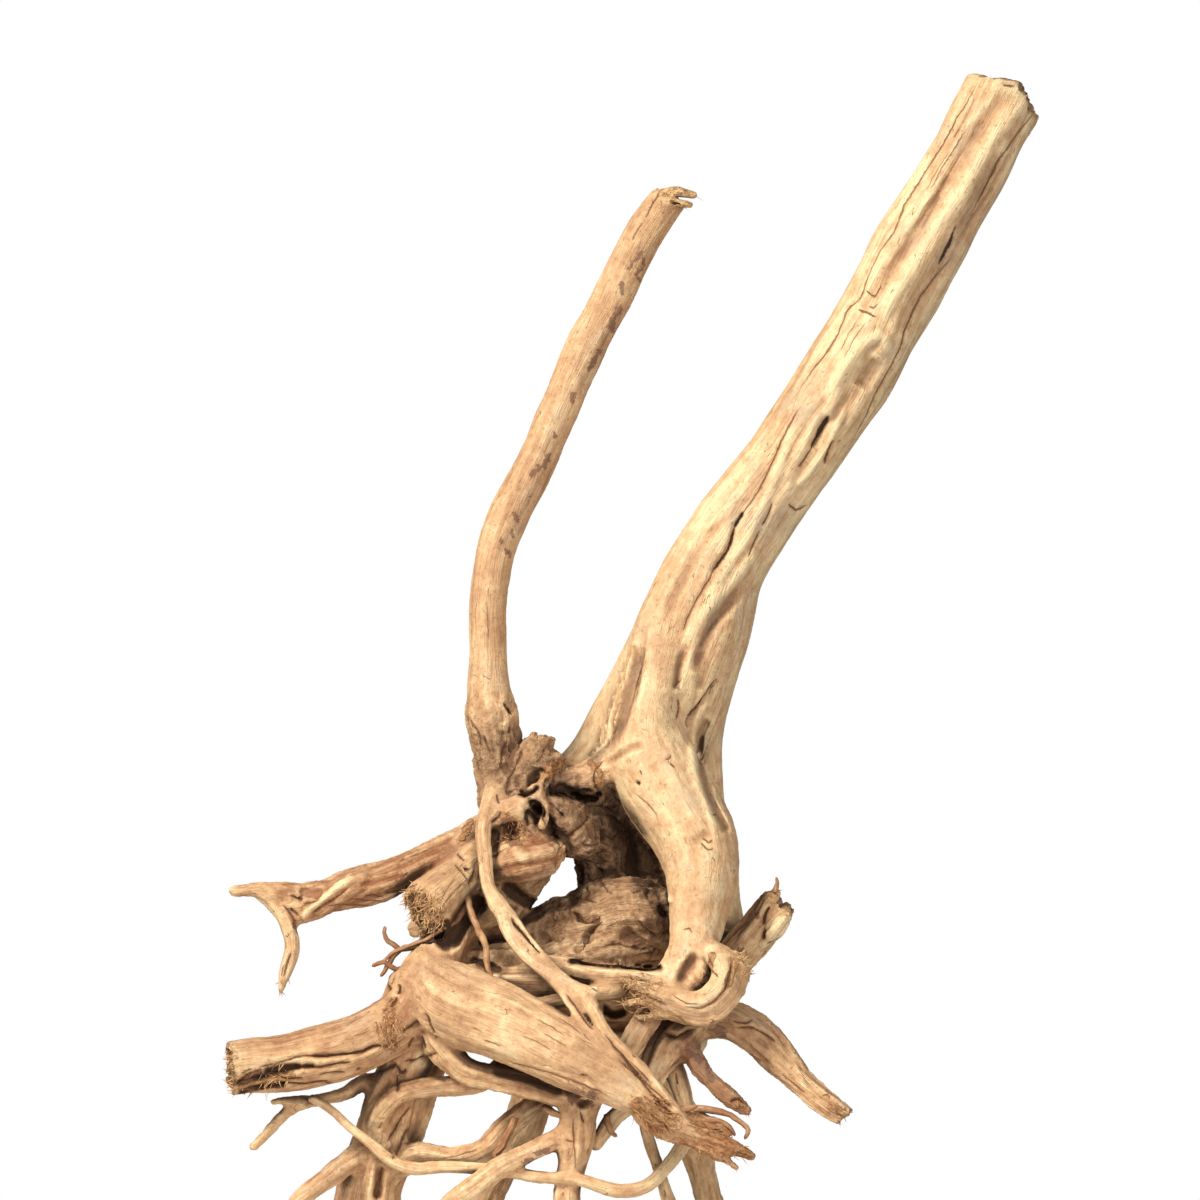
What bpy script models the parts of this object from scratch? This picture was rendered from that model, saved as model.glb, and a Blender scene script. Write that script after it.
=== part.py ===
"""Driftwood stump: one grown piece of root wood that stands on its own root legs.

A thick fluted trunk and a thin side branch lean over a hollow root crown. Each root is a tapered
tube along a hand-placed centreline, and the tubes are fused into one body. Lengths in the tables
are millimetres: x to the right, y away from the front, z up from the surface the stump stands on.
"""

import bpy
import bmesh

# Driving dimensions
MM = 0.001
TRUNK_RADIUS = 22.5
BRANCH_RADIUS = 9.8
LEFT_LEG_RADIUS = 14.5
VOXEL = 2.2 * MM
SMOOTH_PASSES = 4
SMOOTH_FACTOR = 0.5
TRIANGLES = 8200
FLOOR_CUTTER_SIZE = 700 * MM
FLOOR_CUTTER_DEPTH = 60 * MM
BELOW_FLOOR = -12.0
TUBE_ROUNDNESS = 3
STEPS_BETWEEN_POINTS = 4
WELD_GAP = 0.01 * MM
WOOD_COLOUR = (0.62, 0.42, 0.24, 1.0)
WOOD_ROUGHNESS = 0.72

COLLECTION = "driftwood_stump"
CUTTERS = "driftwood_stump_cutters"
NODE = "driftwood_stump"

# Each root is a list of (x, y, z, radius) points along its centreline.
TRUNK = [
    [
        (185.5, 24, 586, TRUNK_RADIUS - 1),
        (179, 24, 574, TRUNK_RADIUS - 1.5),
        (164, 24, 545, TRUNK_RADIUS - 2),
        (142.5, 22, 508.5, TRUNK_RADIUS - 0.5),
        (123, 20, 473, TRUNK_RADIUS),
        (106, 18, 444, TRUNK_RADIUS + 0.5),
        (82.5, 16, 408.5, TRUNK_RADIUS),
        (57, 14, 373.5, TRUNK_RADIUS + 0.5),
        (39.5, 12, 346, TRUNK_RADIUS + 1.5),
        (31, 11, 320, TRUNK_RADIUS + 4.5),
        (22.5, 10, 298.5, TRUNK_RADIUS + 6),
        (14, 12, 273.5, TRUNK_RADIUS + 6),
        (6, 16, 252, TRUNK_RADIUS + 3),
    ],
]

# The trunk parts into lobes that arch over the hollow in the crown.
TRUNK_LOBES = [
    [(22, 16, 331, 12), (4, 20, 301, 12.5), (-8, 26, 276, 13), (-22, 30, 254, 11), (-40, 34, 238, 10)],
    [
        (35, 10, 362, 8),
        (28, 4, 346, 12),
        (16, -2, 321, 14),
        (9.5, -8, 291, 16),
        (4.5, -12, 266, 19),
        (12, -16, 241, 22),
        (27, -22, 216, 21),
        (33, -30, 196, 18),
        (30.5, -38, 173.5, 14),
        (27, -46, 156, 12),
        (19.5, -52, 142, 11),
    ],
    [
        (2, -12, 258.5, 11),
        (-12, -12, 249, 8),
        (-23, -12, 242.5, 6.5),
        (-33, -12, 242, 5.5),
        (-44, -14, 240, 5.5),
    ],
    [
        (38, 14, 288, 7),
        (34, 20, 261, 9),
        (34.5, 22, 236, 9),
        (38, 22, 216, 9),
        (42, 20, 186, 9),
        (46, 12, 158, 9.5),
    ],
    [(22, 30, 300, 13), (12, 40, 262, 15), (-4, 46, 224, 16), (-14, 50, 190, 15), (-10, 46, 150, 17)],
]

BRANCH = [
    [
        (22, 8, 540, BRANCH_RADIUS - 0.8),
        (7, 8, 518.5, BRANCH_RADIUS - 0.3),
        (-4, 8, 498.5, BRANCH_RADIUS),
        (-13, 8, 481, BRANCH_RADIUS),
        (-22, 8, 463.5, BRANCH_RADIUS),
        (-30.5, 7, 445, BRANCH_RADIUS),
        (-39, 6, 426, BRANCH_RADIUS),
        (-46.5, 5, 408.5, BRANCH_RADIUS),
        (-54.5, 4, 391, BRANCH_RADIUS),
        (-63, 2, 373.5, BRANCH_RADIUS),
        (-70, 0, 356, BRANCH_RADIUS),
        (-73, -2, 336, BRANCH_RADIUS - 0.5),
        (-74, -3, 316, BRANCH_RADIUS - 0.8),
        (-74, -4, 298.5, BRANCH_RADIUS - 0.5),
        (-73, -5, 281, BRANCH_RADIUS + 1.2),
        (-70.5, -6, 266, BRANCH_RADIUS + 2.7),
        (-68, -6, 250, BRANCH_RADIUS + 2),
        (-66, -8, 230, BRANCH_RADIUS + 1.5),
    ],
    [(-58, -10, 234, 10), (-54, -13, 246, 9), (-49, -15, 254, 8), (-45, -15, 260, 6)],
]

# The crown: a knuckle on the left, a rough column and floor round the hollow, and the back mass.
CROWN = [
    [
        (-60.5, -10, 234, 12),
        (-57, -14, 216, 15),
        (-60, -14, 200, 16),
        (-65, -12, 186, 14),
        (-72, -8, 172, 13),
    ],
    [(-48, -4, 222, 13), (-34, 0, 216, 13), (-21, 10, 210, 13), (-17, 16, 194, 12), (-14, 16, 178, 14)],
    [
        (-52, 2, 160, 13),
        (-38, 2, 165, 15),
        (-22, -4, 167, 19),
        (-4, -6, 171, 21),
        (10, -2, 168, 18),
        (34, 8, 160, 15),
    ],
    [(-66, -24, 196, 10), (-55, -28, 200, 12), (-47, -26, 205, 9)],
    [(-66, 0, 148, 17), (-40, 6, 140, 18), (-10, 8, 138, 20), (18, 6, 138, 19), (38, 0, 138, 14)],
    [(-62, 2, 122, 17), (-36, 12, 112, 18), (-6, 14, 108, 18), (20, 4, 116, 16)],
    [(-74, 6, 170, 14), (-68, 24, 156, 16), (-44, 38, 146, 17), (-12, 42, 142, 20), (20, 34, 146, 18)],
    [(20, 34, 146, 17), (38, 24, 168, 12), (42, 24, 200, 9)],
    [(-58, 8, 216, 11), (-64, 24, 206, 11), (-71, 30, 186, 11), (-72, 26, 166, 13)],
    [(-40, 34, 238, 10), (-58, 30, 226, 10), (-66, 26, 206, 10)],
    [(-34, 30, 240, 10), (-10, 32, 228, 14), (5, 30, 204, 17), (12, 28, 180, 18)],
]

LEFT_ROOTS = [
    [
        (-66, -10, 220, 8),
        (-75, -12, 217.5, 7),
        (-87, -14, 211, 6.8),
        (-100.5, -18, 203.5, 7.5),
        (-115.5, -22, 195.5, 8.5),
        (-130.5, -26, 189, 9),
        (-145.5, -28, 185.5, 9),
        (-158, -30, 183.5, 7.8),
        (-168, -31, 184.5, 5.5),
        (-185, -32, 186.5, 3.8),
        (-200, -32, 186.5, 2.8),
    ],
    [(-138, -34, 190, 4), (-150, -36, 183, 5), (-160, -35, 177, 4.5), (-168, -33, 173, 3.2)],
    [
        (-183.5, -31, 183, 4),
        (-175.5, -33, 174, 3.7),
        (-172, -34, 165, 3.7),
        (-171.5, -35, 156, 3.6),
        (-175, -36, 146, 3),
        (-177, -37, 138, 2.2),
    ],
    [(-64, -12, 204, 12), (-78, -18, 200, 11), (-90.5, -28, 189, 12.5), (-102, -38, 180, 14)],
    [(-84, -24, 186, 10), (-96, -34, 170, 12)],
    [
        (-72, -8, 176, 13),
        (-84, -20, 171, 12),
        (-94, -32, 165, 12.5),
        (-100.5, -38, 151, 12.5),
        (-108, -44, 137, 13.5),
        (-117, -46, 123.5, 14),
        (-133, -48, 113, 14),
        (-153, -50, 106, 14),
        (-173, -53, 101.5, 14),
        (-200, -58, 99, 13.5),
    ],
    [(-114, -38, 130, 12), (-118, -40, 142, 5)],
    [
        (-134, -26, 92, 4),
        (-148, -30, 85, 2.8),
        (-163, -34, 81.5, 3),
        (-173, -36, 76.5, 2.6),
        (-190.5, -40, 60, 2.2),
    ],
]

FRONT_ROOTS = [
    [
        (-104, -46, 142, 14),
        (-90, -56, 131.5, 19.5),
        (-73, -64, 124.5, 19),
        (-53, -72, 116, 18),
        (-33, -80, 106.5, 16),
        (-15.5, -86, 96.5, 13),
        (-0.5, -90, 87, 10),
        (12, -92, 77, 7.5),
        (27, -94, 69.5, 5.5),
        (42, -95, 63.5, 4.5),
        (56.5, -96, 59, 3),
    ],
    [
        (-70, -14, 236, 5),
        (-75.5, -30, 218, 4.2),
        (-75, -37, 203, 4),
        (-73.5, -42, 189, 4),
        (-67, -48, 176, 4.2),
        (-61, -52, 165, 3.8),
        (-52.5, -58, 154, 3.8),
        (-38.5, -69, 144, 4.4),
        (-25.5, -80, 137, 4.6),
        (-20, -85, 127.5, 4.2),
        (-14.5, -90, 118, 4),
        (-4, -92, 107.5, 4),
        (6, -93, 95.5, 4),
        (16, -94, 83.5, 3.6),
        (28, -95, 71.5, 3.6),
    ],
    [
        (-76, -22, 142, 10),
        (-60, -38, 139.5, 10),
        (-44, -38, 139.5, 10),
        (-30, -32, 139.5, 8),
        (-16, -22, 142, 8),
    ],
    [
        (-52, -34, 147, 6),
        (-38, -46, 149.5, 5),
        (-23, -50, 146.5, 4.5),
        (-8, -52, 145, 4.5),
        (7, -54, 142.5, 5),
    ],
    [
        (-66, -44, 133, 5),
        (-53, -52, 130, 4),
        (-38, -54, 132.5, 4),
        (-23, -54, 136.5, 4),
        (-8, -52, 138.5, 4.5),
    ],
    [(-90, -46, 138, 10), (-80, -34, 142, 10), (-70, -18, 146, 12)],
]

RIGHT_ROOTS = [
    [
        (12, -52, 139, 8),
        (19.5, -64, 133, 7.5),
        (33, -68, 129, 7.5),
        (43.5, -66, 137, 7.5),
        (46, -62, 149, 7),
        (39, -56, 156.5, 6.5),
        (29.5, -52, 157, 8),
    ],
    [(28, -48, 152, 9), (32, -58, 145, 11)],
    [(30, -58, 151, 8), (36, -60, 142, 8.5)],
    [(36, 0, 138, 11), (48, -10, 151, 9.5), (58.5, -12, 163, 10), (70, -14, 178.5, 9.3)],
    [
        (16, -16, 124, 12),
        (34, -30, 122.5, 9),
        (49, -34, 121.5, 9.5),
        (61.5, -40, 113, 9.5),
        (74, -46, 100.5, 8),
        (86, -52, 88.5, 6.5),
        (97, -56, 79.5, 5.5),
        (102.5, -58, 75.5, 3.5),
    ],
    [
        (14, -30, 114, 9),
        (26, -40, 107, 6),
        (33.5, -46, 96.5, 6.2),
        (42, -50, 89, 5.5),
        (53, -53, 82, 3.5),
    ],
    [
        (20, -46, 139, 8),
        (9.5, -50, 130, 7),
        (2, -52, 118, 6.5),
        (-6, -54, 106, 6),
        (-18, -54, 93, 7),
        (-29, -52, 80, 8),
    ],
    [(27, -28, 123, 11), (26, -34, 119.5, 10), (14.5, -40, 108, 9), (7, -44, 95, 7), (5, -42, 78, 4)],
]

# Roots that reach the surface and carry the stump.
LEGS = [
    [
        (-98, -38, 130, 12),
        (-111, -34, 108, 12),
        (-119.5, -30, 90, 12.5),
        (-125, -26, 72, LEFT_LEG_RADIUS - 0.5),
        (-128, -24, 57, LEFT_LEG_RADIUS - 0.5),
        (-132, -22, 42, LEFT_LEG_RADIUS),
        (-134, -20, 26, LEFT_LEG_RADIUS + 0.5),
        (-137, -18, 0, LEFT_LEG_RADIUS + 1),
        (-138, -17, BELOW_FLOOR, LEFT_LEG_RADIUS + 1),
    ],
    [
        (-98, -26, 122, 12),
        (-105, -20, 106, 12.5),
        (-111, -18, 88, 12),
        (-117, -18, 66, 11),
        (-127, -18, 44, 11),
    ],
    [
        (-135.5, -30, 57, 6),
        (-148, -40, 48, 5.5),
        (-162, -50, 37, 4.5),
        (-178, -57, 22, 4),
        (-190, -60, 5, 3.5),
    ],
    [
        (-126, -34, 61, 5),
        (-130, -38, 70, 4.5),
        (-125, -42, 79, 5),
        (-115, -44, 86.5, 5),
        (-97.5, -44, 90, 5),
        (-80, -42, 91.5, 5),
        (-67.5, -38, 98, 5),
        (-60, -30, 107, 6),
    ],
    [
        (-126, -26, 47, 8),
        (-117.5, -30, 50, 7),
        (-105, -34, 55, 6.5),
        (-90, -36, 53.5, 6),
        (-75, -36, 58.5, 6),
        (-65, -34, 68.5, 6),
        (-52.5, -32, 78.5, 5.5),
        (-38, -24, 87, 6),
        (-26, -10, 96, 8),
    ],
    [
        (-160.5, -44, 84, 2.4),
        (-149.5, -46, 77, 2.3),
        (-139.5, -48, 68, 2.3),
        (-129.5, -50, 59.5, 2.6),
        (-121, -50, 53, 3),
        (-109.5, -50, 49, 3),
        (-92.5, -52, 50.5, 3),
        (-72.5, -54, 48.5, 3),
        (-52.5, -56, 45.5, 3),
        (-30.5, -60, 44, 3),
        (-10.5, -60, 39, 3.4),
        (4.5, -56, 40, 3.4),
        (14, -50, 48.5, 3.4),
        (21.5, -46, 58, 3.4),
        (26.5, -42, 68, 3.4),
        (24, -38, 81, 4),
        (18, -34, 98, 5),
    ],
    [
        (-16, -40, 101, 9),
        (-26, -48, 90, 8),
        (-29.5, -52, 68, 8.5),
        (-31.5, -52, 53.5, 7.5),
        (-34, -52, 38.5, 6.8),
        (-36, -52, 16, 7),
        (-38, -53, 0, 8),
        (-38, -53, BELOW_FLOOR, 8),
    ],
    [
        (-30, -52, 68, 5),
        (-40.5, -54, 63, 4.5),
        (-52.5, -56, 57.5, 4.5),
        (-67.5, -60, 49.5, 5),
        (-78.5, -64, 41.5, 5.5),
        (-91.5, -69, 32, 5.5),
        (-108, -76, 15, 5.5),
        (-118, -80, 0, 6),
        (-124, -82, BELOW_FLOOR, 6),
    ],
    [(2, -44, 86, 5), (-4, -46, 80, 4.5), (-12, -46, 73, 4.5), (-20, -46, 61, 3.2)],
    [
        (4.5, -42, 86, 5),
        (4.5, -40, 72, 3.2),
        (7, -40, 60.5, 3),
        (11, -41, 48, 3),
        (16, -42, 33, 3.4),
        (24, -44, 12, 4.5),
        (30, -46, 0, 5.5),
        (34, -47, BELOW_FLOOR, 6),
    ],
    [
        (-2, 34, 118, 13),
        (10, 44, 92, 10),
        (22, 50, 72, 9),
        (29, 53, 56, 8),
        (34, 58, 41, 7),
        (38, 63, 27, 7),
        (46, 70, 10, 7.5),
        (52, 74, 0, 9),
        (58, 77, BELOW_FLOOR, 9),
    ],
]

# Roots that leave the back of the crown, two of them down to the surface.
REAR_ROOTS = [
    [
        (-36, 38, 128, 14),
        (-48, 46, 104, 11),
        (-52, 54, 82, 9.5),
        (-62, 62, 56, 9),
        (-76, 70, 28, 9),
        (-88, 78, 0, 11),
        (-94, 82, BELOW_FLOOR, 11),
    ],
    [
        (-8, 46, 150, 15),
        (7, 60, 150, 11),
        (23, 73, 143, 9.5),
        (34, 84, 133, 8),
        (39, 92, 124, 6),
        (42, 97, 117, 4),
    ],
    [(-56, 34, 158, 13), (-72, 50, 164, 11), (-86, 66, 172, 9), (-98, 80, 172, 7), (-112, 92, 164, 4.5)],
    [(-14, 50, 176, 14), (-12, 66, 186, 11), (-14, 80, 192, 10)],
]

GROUPS = (
    TRUNK, TRUNK_LOBES, BRANCH, CROWN, LEFT_ROOTS, FRONT_ROOTS, RIGHT_ROOTS, LEGS, REAR_ROOTS,
)


def root_mesh(points):
    """A tapered tube through the points, as a mesh with welded caps."""
    curve = bpy.data.curves.new("root_curve", "CURVE")
    curve.dimensions = "3D"
    curve.bevel_depth = 1.0
    curve.bevel_resolution = TUBE_ROUNDNESS
    curve.resolution_u = STEPS_BETWEEN_POINTS
    curve.use_fill_caps = True
    spline = curve.splines.new("BEZIER")
    spline.bezier_points.add(len(points) - 1)
    for knot, (x, y, z, radius) in zip(spline.bezier_points, points):
        knot.co = (x * MM, y * MM, z * MM)
        knot.radius = radius * MM
        knot.handle_left_type = "AUTO"
        knot.handle_right_type = "AUTO"
    tube = bpy.data.objects.new("root_curve", curve)
    bpy.context.scene.collection.objects.link(tube)
    depsgraph = bpy.context.evaluated_depsgraph_get()
    mesh = bpy.data.meshes.new_from_object(tube.evaluated_get(depsgraph))
    bpy.data.objects.remove(tube)
    bpy.data.curves.remove(curve)
    return mesh


def all_roots():
    """Every root's tube in one mesh, still overlapping."""
    whole = bmesh.new()
    for group in GROUPS:
        for points in group:
            tube = root_mesh(points)
            whole.from_mesh(tube)
            bpy.data.meshes.remove(tube)
    bmesh.ops.remove_doubles(whole, verts=whole.verts, dist=WELD_GAP)
    mesh = bpy.data.meshes.new("driftwood_roots")
    whole.to_mesh(mesh)
    whole.free()
    return mesh


def fused(mesh):
    """The overlapping tubes as one smooth skin."""
    rough = bpy.data.objects.new("roots", mesh)
    bpy.context.scene.collection.objects.link(rough)
    fuse = rough.modifiers.new("fuse", "REMESH")
    fuse.mode = "VOXEL"
    fuse.voxel_size = VOXEL
    smooth = rough.modifiers.new("smooth", "SMOOTH")
    smooth.factor = SMOOTH_FACTOR
    smooth.iterations = SMOOTH_PASSES
    depsgraph = bpy.context.evaluated_depsgraph_get()
    skin = bpy.data.meshes.new_from_object(rough.evaluated_get(depsgraph))
    bpy.data.objects.remove(rough)
    bpy.data.meshes.remove(mesh)
    return skin


def islands(skin):
    """The skin's loose shells, each a list of vertices."""
    unseen = set(skin.verts)
    shells = []
    while unseen:
        start = unseen.pop()
        shell = [start]
        waiting = [start]
        while waiting:
            vertex = waiting.pop()
            for edge in vertex.link_edges:
                other = edge.other_vert(vertex)
                if other in unseen:
                    unseen.remove(other)
                    shell.append(other)
                    waiting.append(other)
        shells.append(shell)
    return shells


def keep_outer_shell(mesh):
    """Drops the small shells round any pocket that the roots close off inside the wood."""
    skin = bmesh.new()
    skin.from_mesh(mesh)
    shells = sorted(islands(skin), key=len)
    for shell in shells[:-1]:
        bmesh.ops.delete(skin, geom=shell, context="VERTS")
    skin.to_mesh(mesh)
    skin.free()
    return len(mesh.polygons)


def wood_material():
    """Dry, bleached root wood: warm tan, matt."""
    material = bpy.data.materials.new("driftwood")
    material.use_nodes = True
    shader = material.node_tree.nodes["Principled BSDF"]
    shader.inputs["Base Color"].default_value = WOOD_COLOUR
    shader.inputs["Roughness"].default_value = WOOD_ROUGHNESS
    shader.inputs["Metallic"].default_value = 0.0
    return material


def floor_cutter(collection):
    """A block under the surface, which trims the feet flat."""
    bpy.ops.mesh.primitive_cube_add(size=1.0, location=(0, 0, -FLOOR_CUTTER_DEPTH / 2))
    cutter = bpy.context.active_object
    cutter.name = "floor_cutter"
    cutter.scale = (FLOOR_CUTTER_SIZE, FLOOR_CUTTER_SIZE, FLOOR_CUTTER_DEPTH)
    cutter.hide_render = True
    cutter.display_type = "WIRE"
    for owner in list(cutter.users_collection):
        owner.objects.unlink(cutter)
    collection.objects.link(cutter)
    return cutter


def driftwood_stump(collection, cutters):
    """The whole stump, thinned to an even skin and trimmed flat at its feet."""
    skin = fused(all_roots())
    faces = keep_outer_shell(skin)
    skin.name = NODE
    stump = bpy.data.objects.new(NODE, skin)
    collection.objects.link(stump)
    skin.materials.clear()
    skin.materials.append(wood_material())
    skin.shade_smooth()
    thin = stump.modifiers.new("thin", "DECIMATE")
    thin.ratio = TRIANGLES / (2 * faces)
    feet = stump.modifiers.new("feet", "BOOLEAN")
    feet.operation = "DIFFERENCE"
    feet.solver = "EXACT"
    feet.object = floor_cutter(cutters)
    return stump


def main():
    for old in list(bpy.data.objects):
        bpy.data.objects.remove(old)
    parts = bpy.data.collections.new(COLLECTION)
    cutters = bpy.data.collections.new(CUTTERS)
    bpy.context.scene.collection.children.link(parts)
    bpy.context.scene.collection.children.link(cutters)
    driftwood_stump(parts, cutters)


main()
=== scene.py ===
"""Driftwood stump: the skin of the wood, its torn ends and hair roots, the light and the camera.

The wood is one skin over many roots. Each root is a tapered tube along a centreline, and
the tubes are joined in a block of signed distances: the skin lies where the distance is nought. It is
then cut at the broken ends, given relief along each root's own grain, and marked with the cracks,
folds and hollows that the camera sees. Lengths are millimetres until the meshes are made: x to the
right, y away from the front, z up from the surface that the stump stands on.
"""
import functools
import math
from typing import NamedTuple

import bmesh
import bpy
import mathutils
import numpy as np
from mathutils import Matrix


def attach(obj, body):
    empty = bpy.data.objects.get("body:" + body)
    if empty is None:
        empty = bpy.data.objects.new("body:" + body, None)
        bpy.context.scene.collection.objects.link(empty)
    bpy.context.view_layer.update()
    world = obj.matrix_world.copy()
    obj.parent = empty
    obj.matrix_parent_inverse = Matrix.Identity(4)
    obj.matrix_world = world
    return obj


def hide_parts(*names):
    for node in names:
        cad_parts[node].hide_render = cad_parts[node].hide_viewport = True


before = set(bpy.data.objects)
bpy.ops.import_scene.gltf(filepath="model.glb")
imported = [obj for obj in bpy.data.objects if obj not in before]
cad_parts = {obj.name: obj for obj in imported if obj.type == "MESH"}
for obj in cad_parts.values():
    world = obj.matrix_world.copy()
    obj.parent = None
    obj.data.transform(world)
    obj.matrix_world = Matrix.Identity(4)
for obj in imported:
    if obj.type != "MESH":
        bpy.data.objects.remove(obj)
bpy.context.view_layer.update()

NODE = "driftwood_stump"
MM = 0.001

# Driving dimensions
TRUNK_RADIUS = 22.5
BRANCH_RADIUS = 9.8
LEFT_LEG_RADIUS = 14.5
BELOW_FLOOR = -12.0  # where the legs' centrelines end, so that the floor cuts the feet flat

# The skin and its relief
CELL = 1.1  # edge of the cells that the skin is drawn from
BLOCK_LOW = (-212.0, -110.0, -6.0)  # the corners of their block
BLOCK_HIGH = (214.0, 110.0, 600.0)
COARSE_CELL = 4.0  # edge of the wide cells that tell how open a place is
COARSE_REACH = 40.0  # how far from the wood they tell it
OPEN_STEPS = (5.0, 11.0, 20.0, 32.0)  # how far out of the wood it is looked at
PATH_STEP = 2.5  # between two points of a smooth centreline
SHORT_RUN = 8  # pieces of a centreline that points are measured to at a time
FILLET = 4.0  # width of the fillet where two roots meet
FAR = 60.0  # stands for any greater distance from the wood
GRAIN_BLEND = 7.0  # width over which one root's grain gives way to the next one's
GRAIN_APART = 317.0  # keeps the grain of two roots from looking alike
DRIFT = 0.9  # how far the skin wanders off plain tubes
DRIFT_SIZE = 26.0  # how wide its waves are
FOOT_HEIGHT = 7.0  # the relief fades out below this, so that the feet stay flat
RELIEF_PASSES = 8  # how smooth a skin is the one that relief is told against
NORMAL_PASSES = 3  # how smooth the directions are in which the open air is looked for

# The camera is level, far off and in front, and the photograph is 1200 pixels across.
EYE = (-18.0, -6000.0, 331.0)
LENS = 360.0
SENSOR = 36.0
PHOTO_MIDDLE = 600.0
PIXELS_PER_MM = 2.0

# How marks are laid on the skin
SEEN_CELL = 4.0  # pixels: side of the squares in which nearer wood hides what is behind it
SEEN_DEPTH = 7.0  # mm behind the nearest wood that still count as seen
MARK_STEP = 4.0  # pixels between two points of a mark's smooth route
MARK_WOBBLE = 0.8  # pixels that a mark strays from its route
MARK_WAVE = 7.0  # mm from one such stray to the next
EDGE_ON = 0.08  # how far a place has to face the camera before marks show on it
EDGE_FADE = 0.3  # and how much farther until they show in full
MARK_TAPER = 0.16  # share of a mark's length in which its end runs out
LINE_REACH = 5.0  # pixels beside a mark for which its dark line is stored
LINE_WEIGHT = 0.55  # scales the dark lines' widths
DARK_DEPTH = 7.0  # a pit this deep is painted in full shade
PAINTS = ("stain", "fray", "dark")  # the marks that only colour the wood: real stains and frays, and dark places of painted shade
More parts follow.
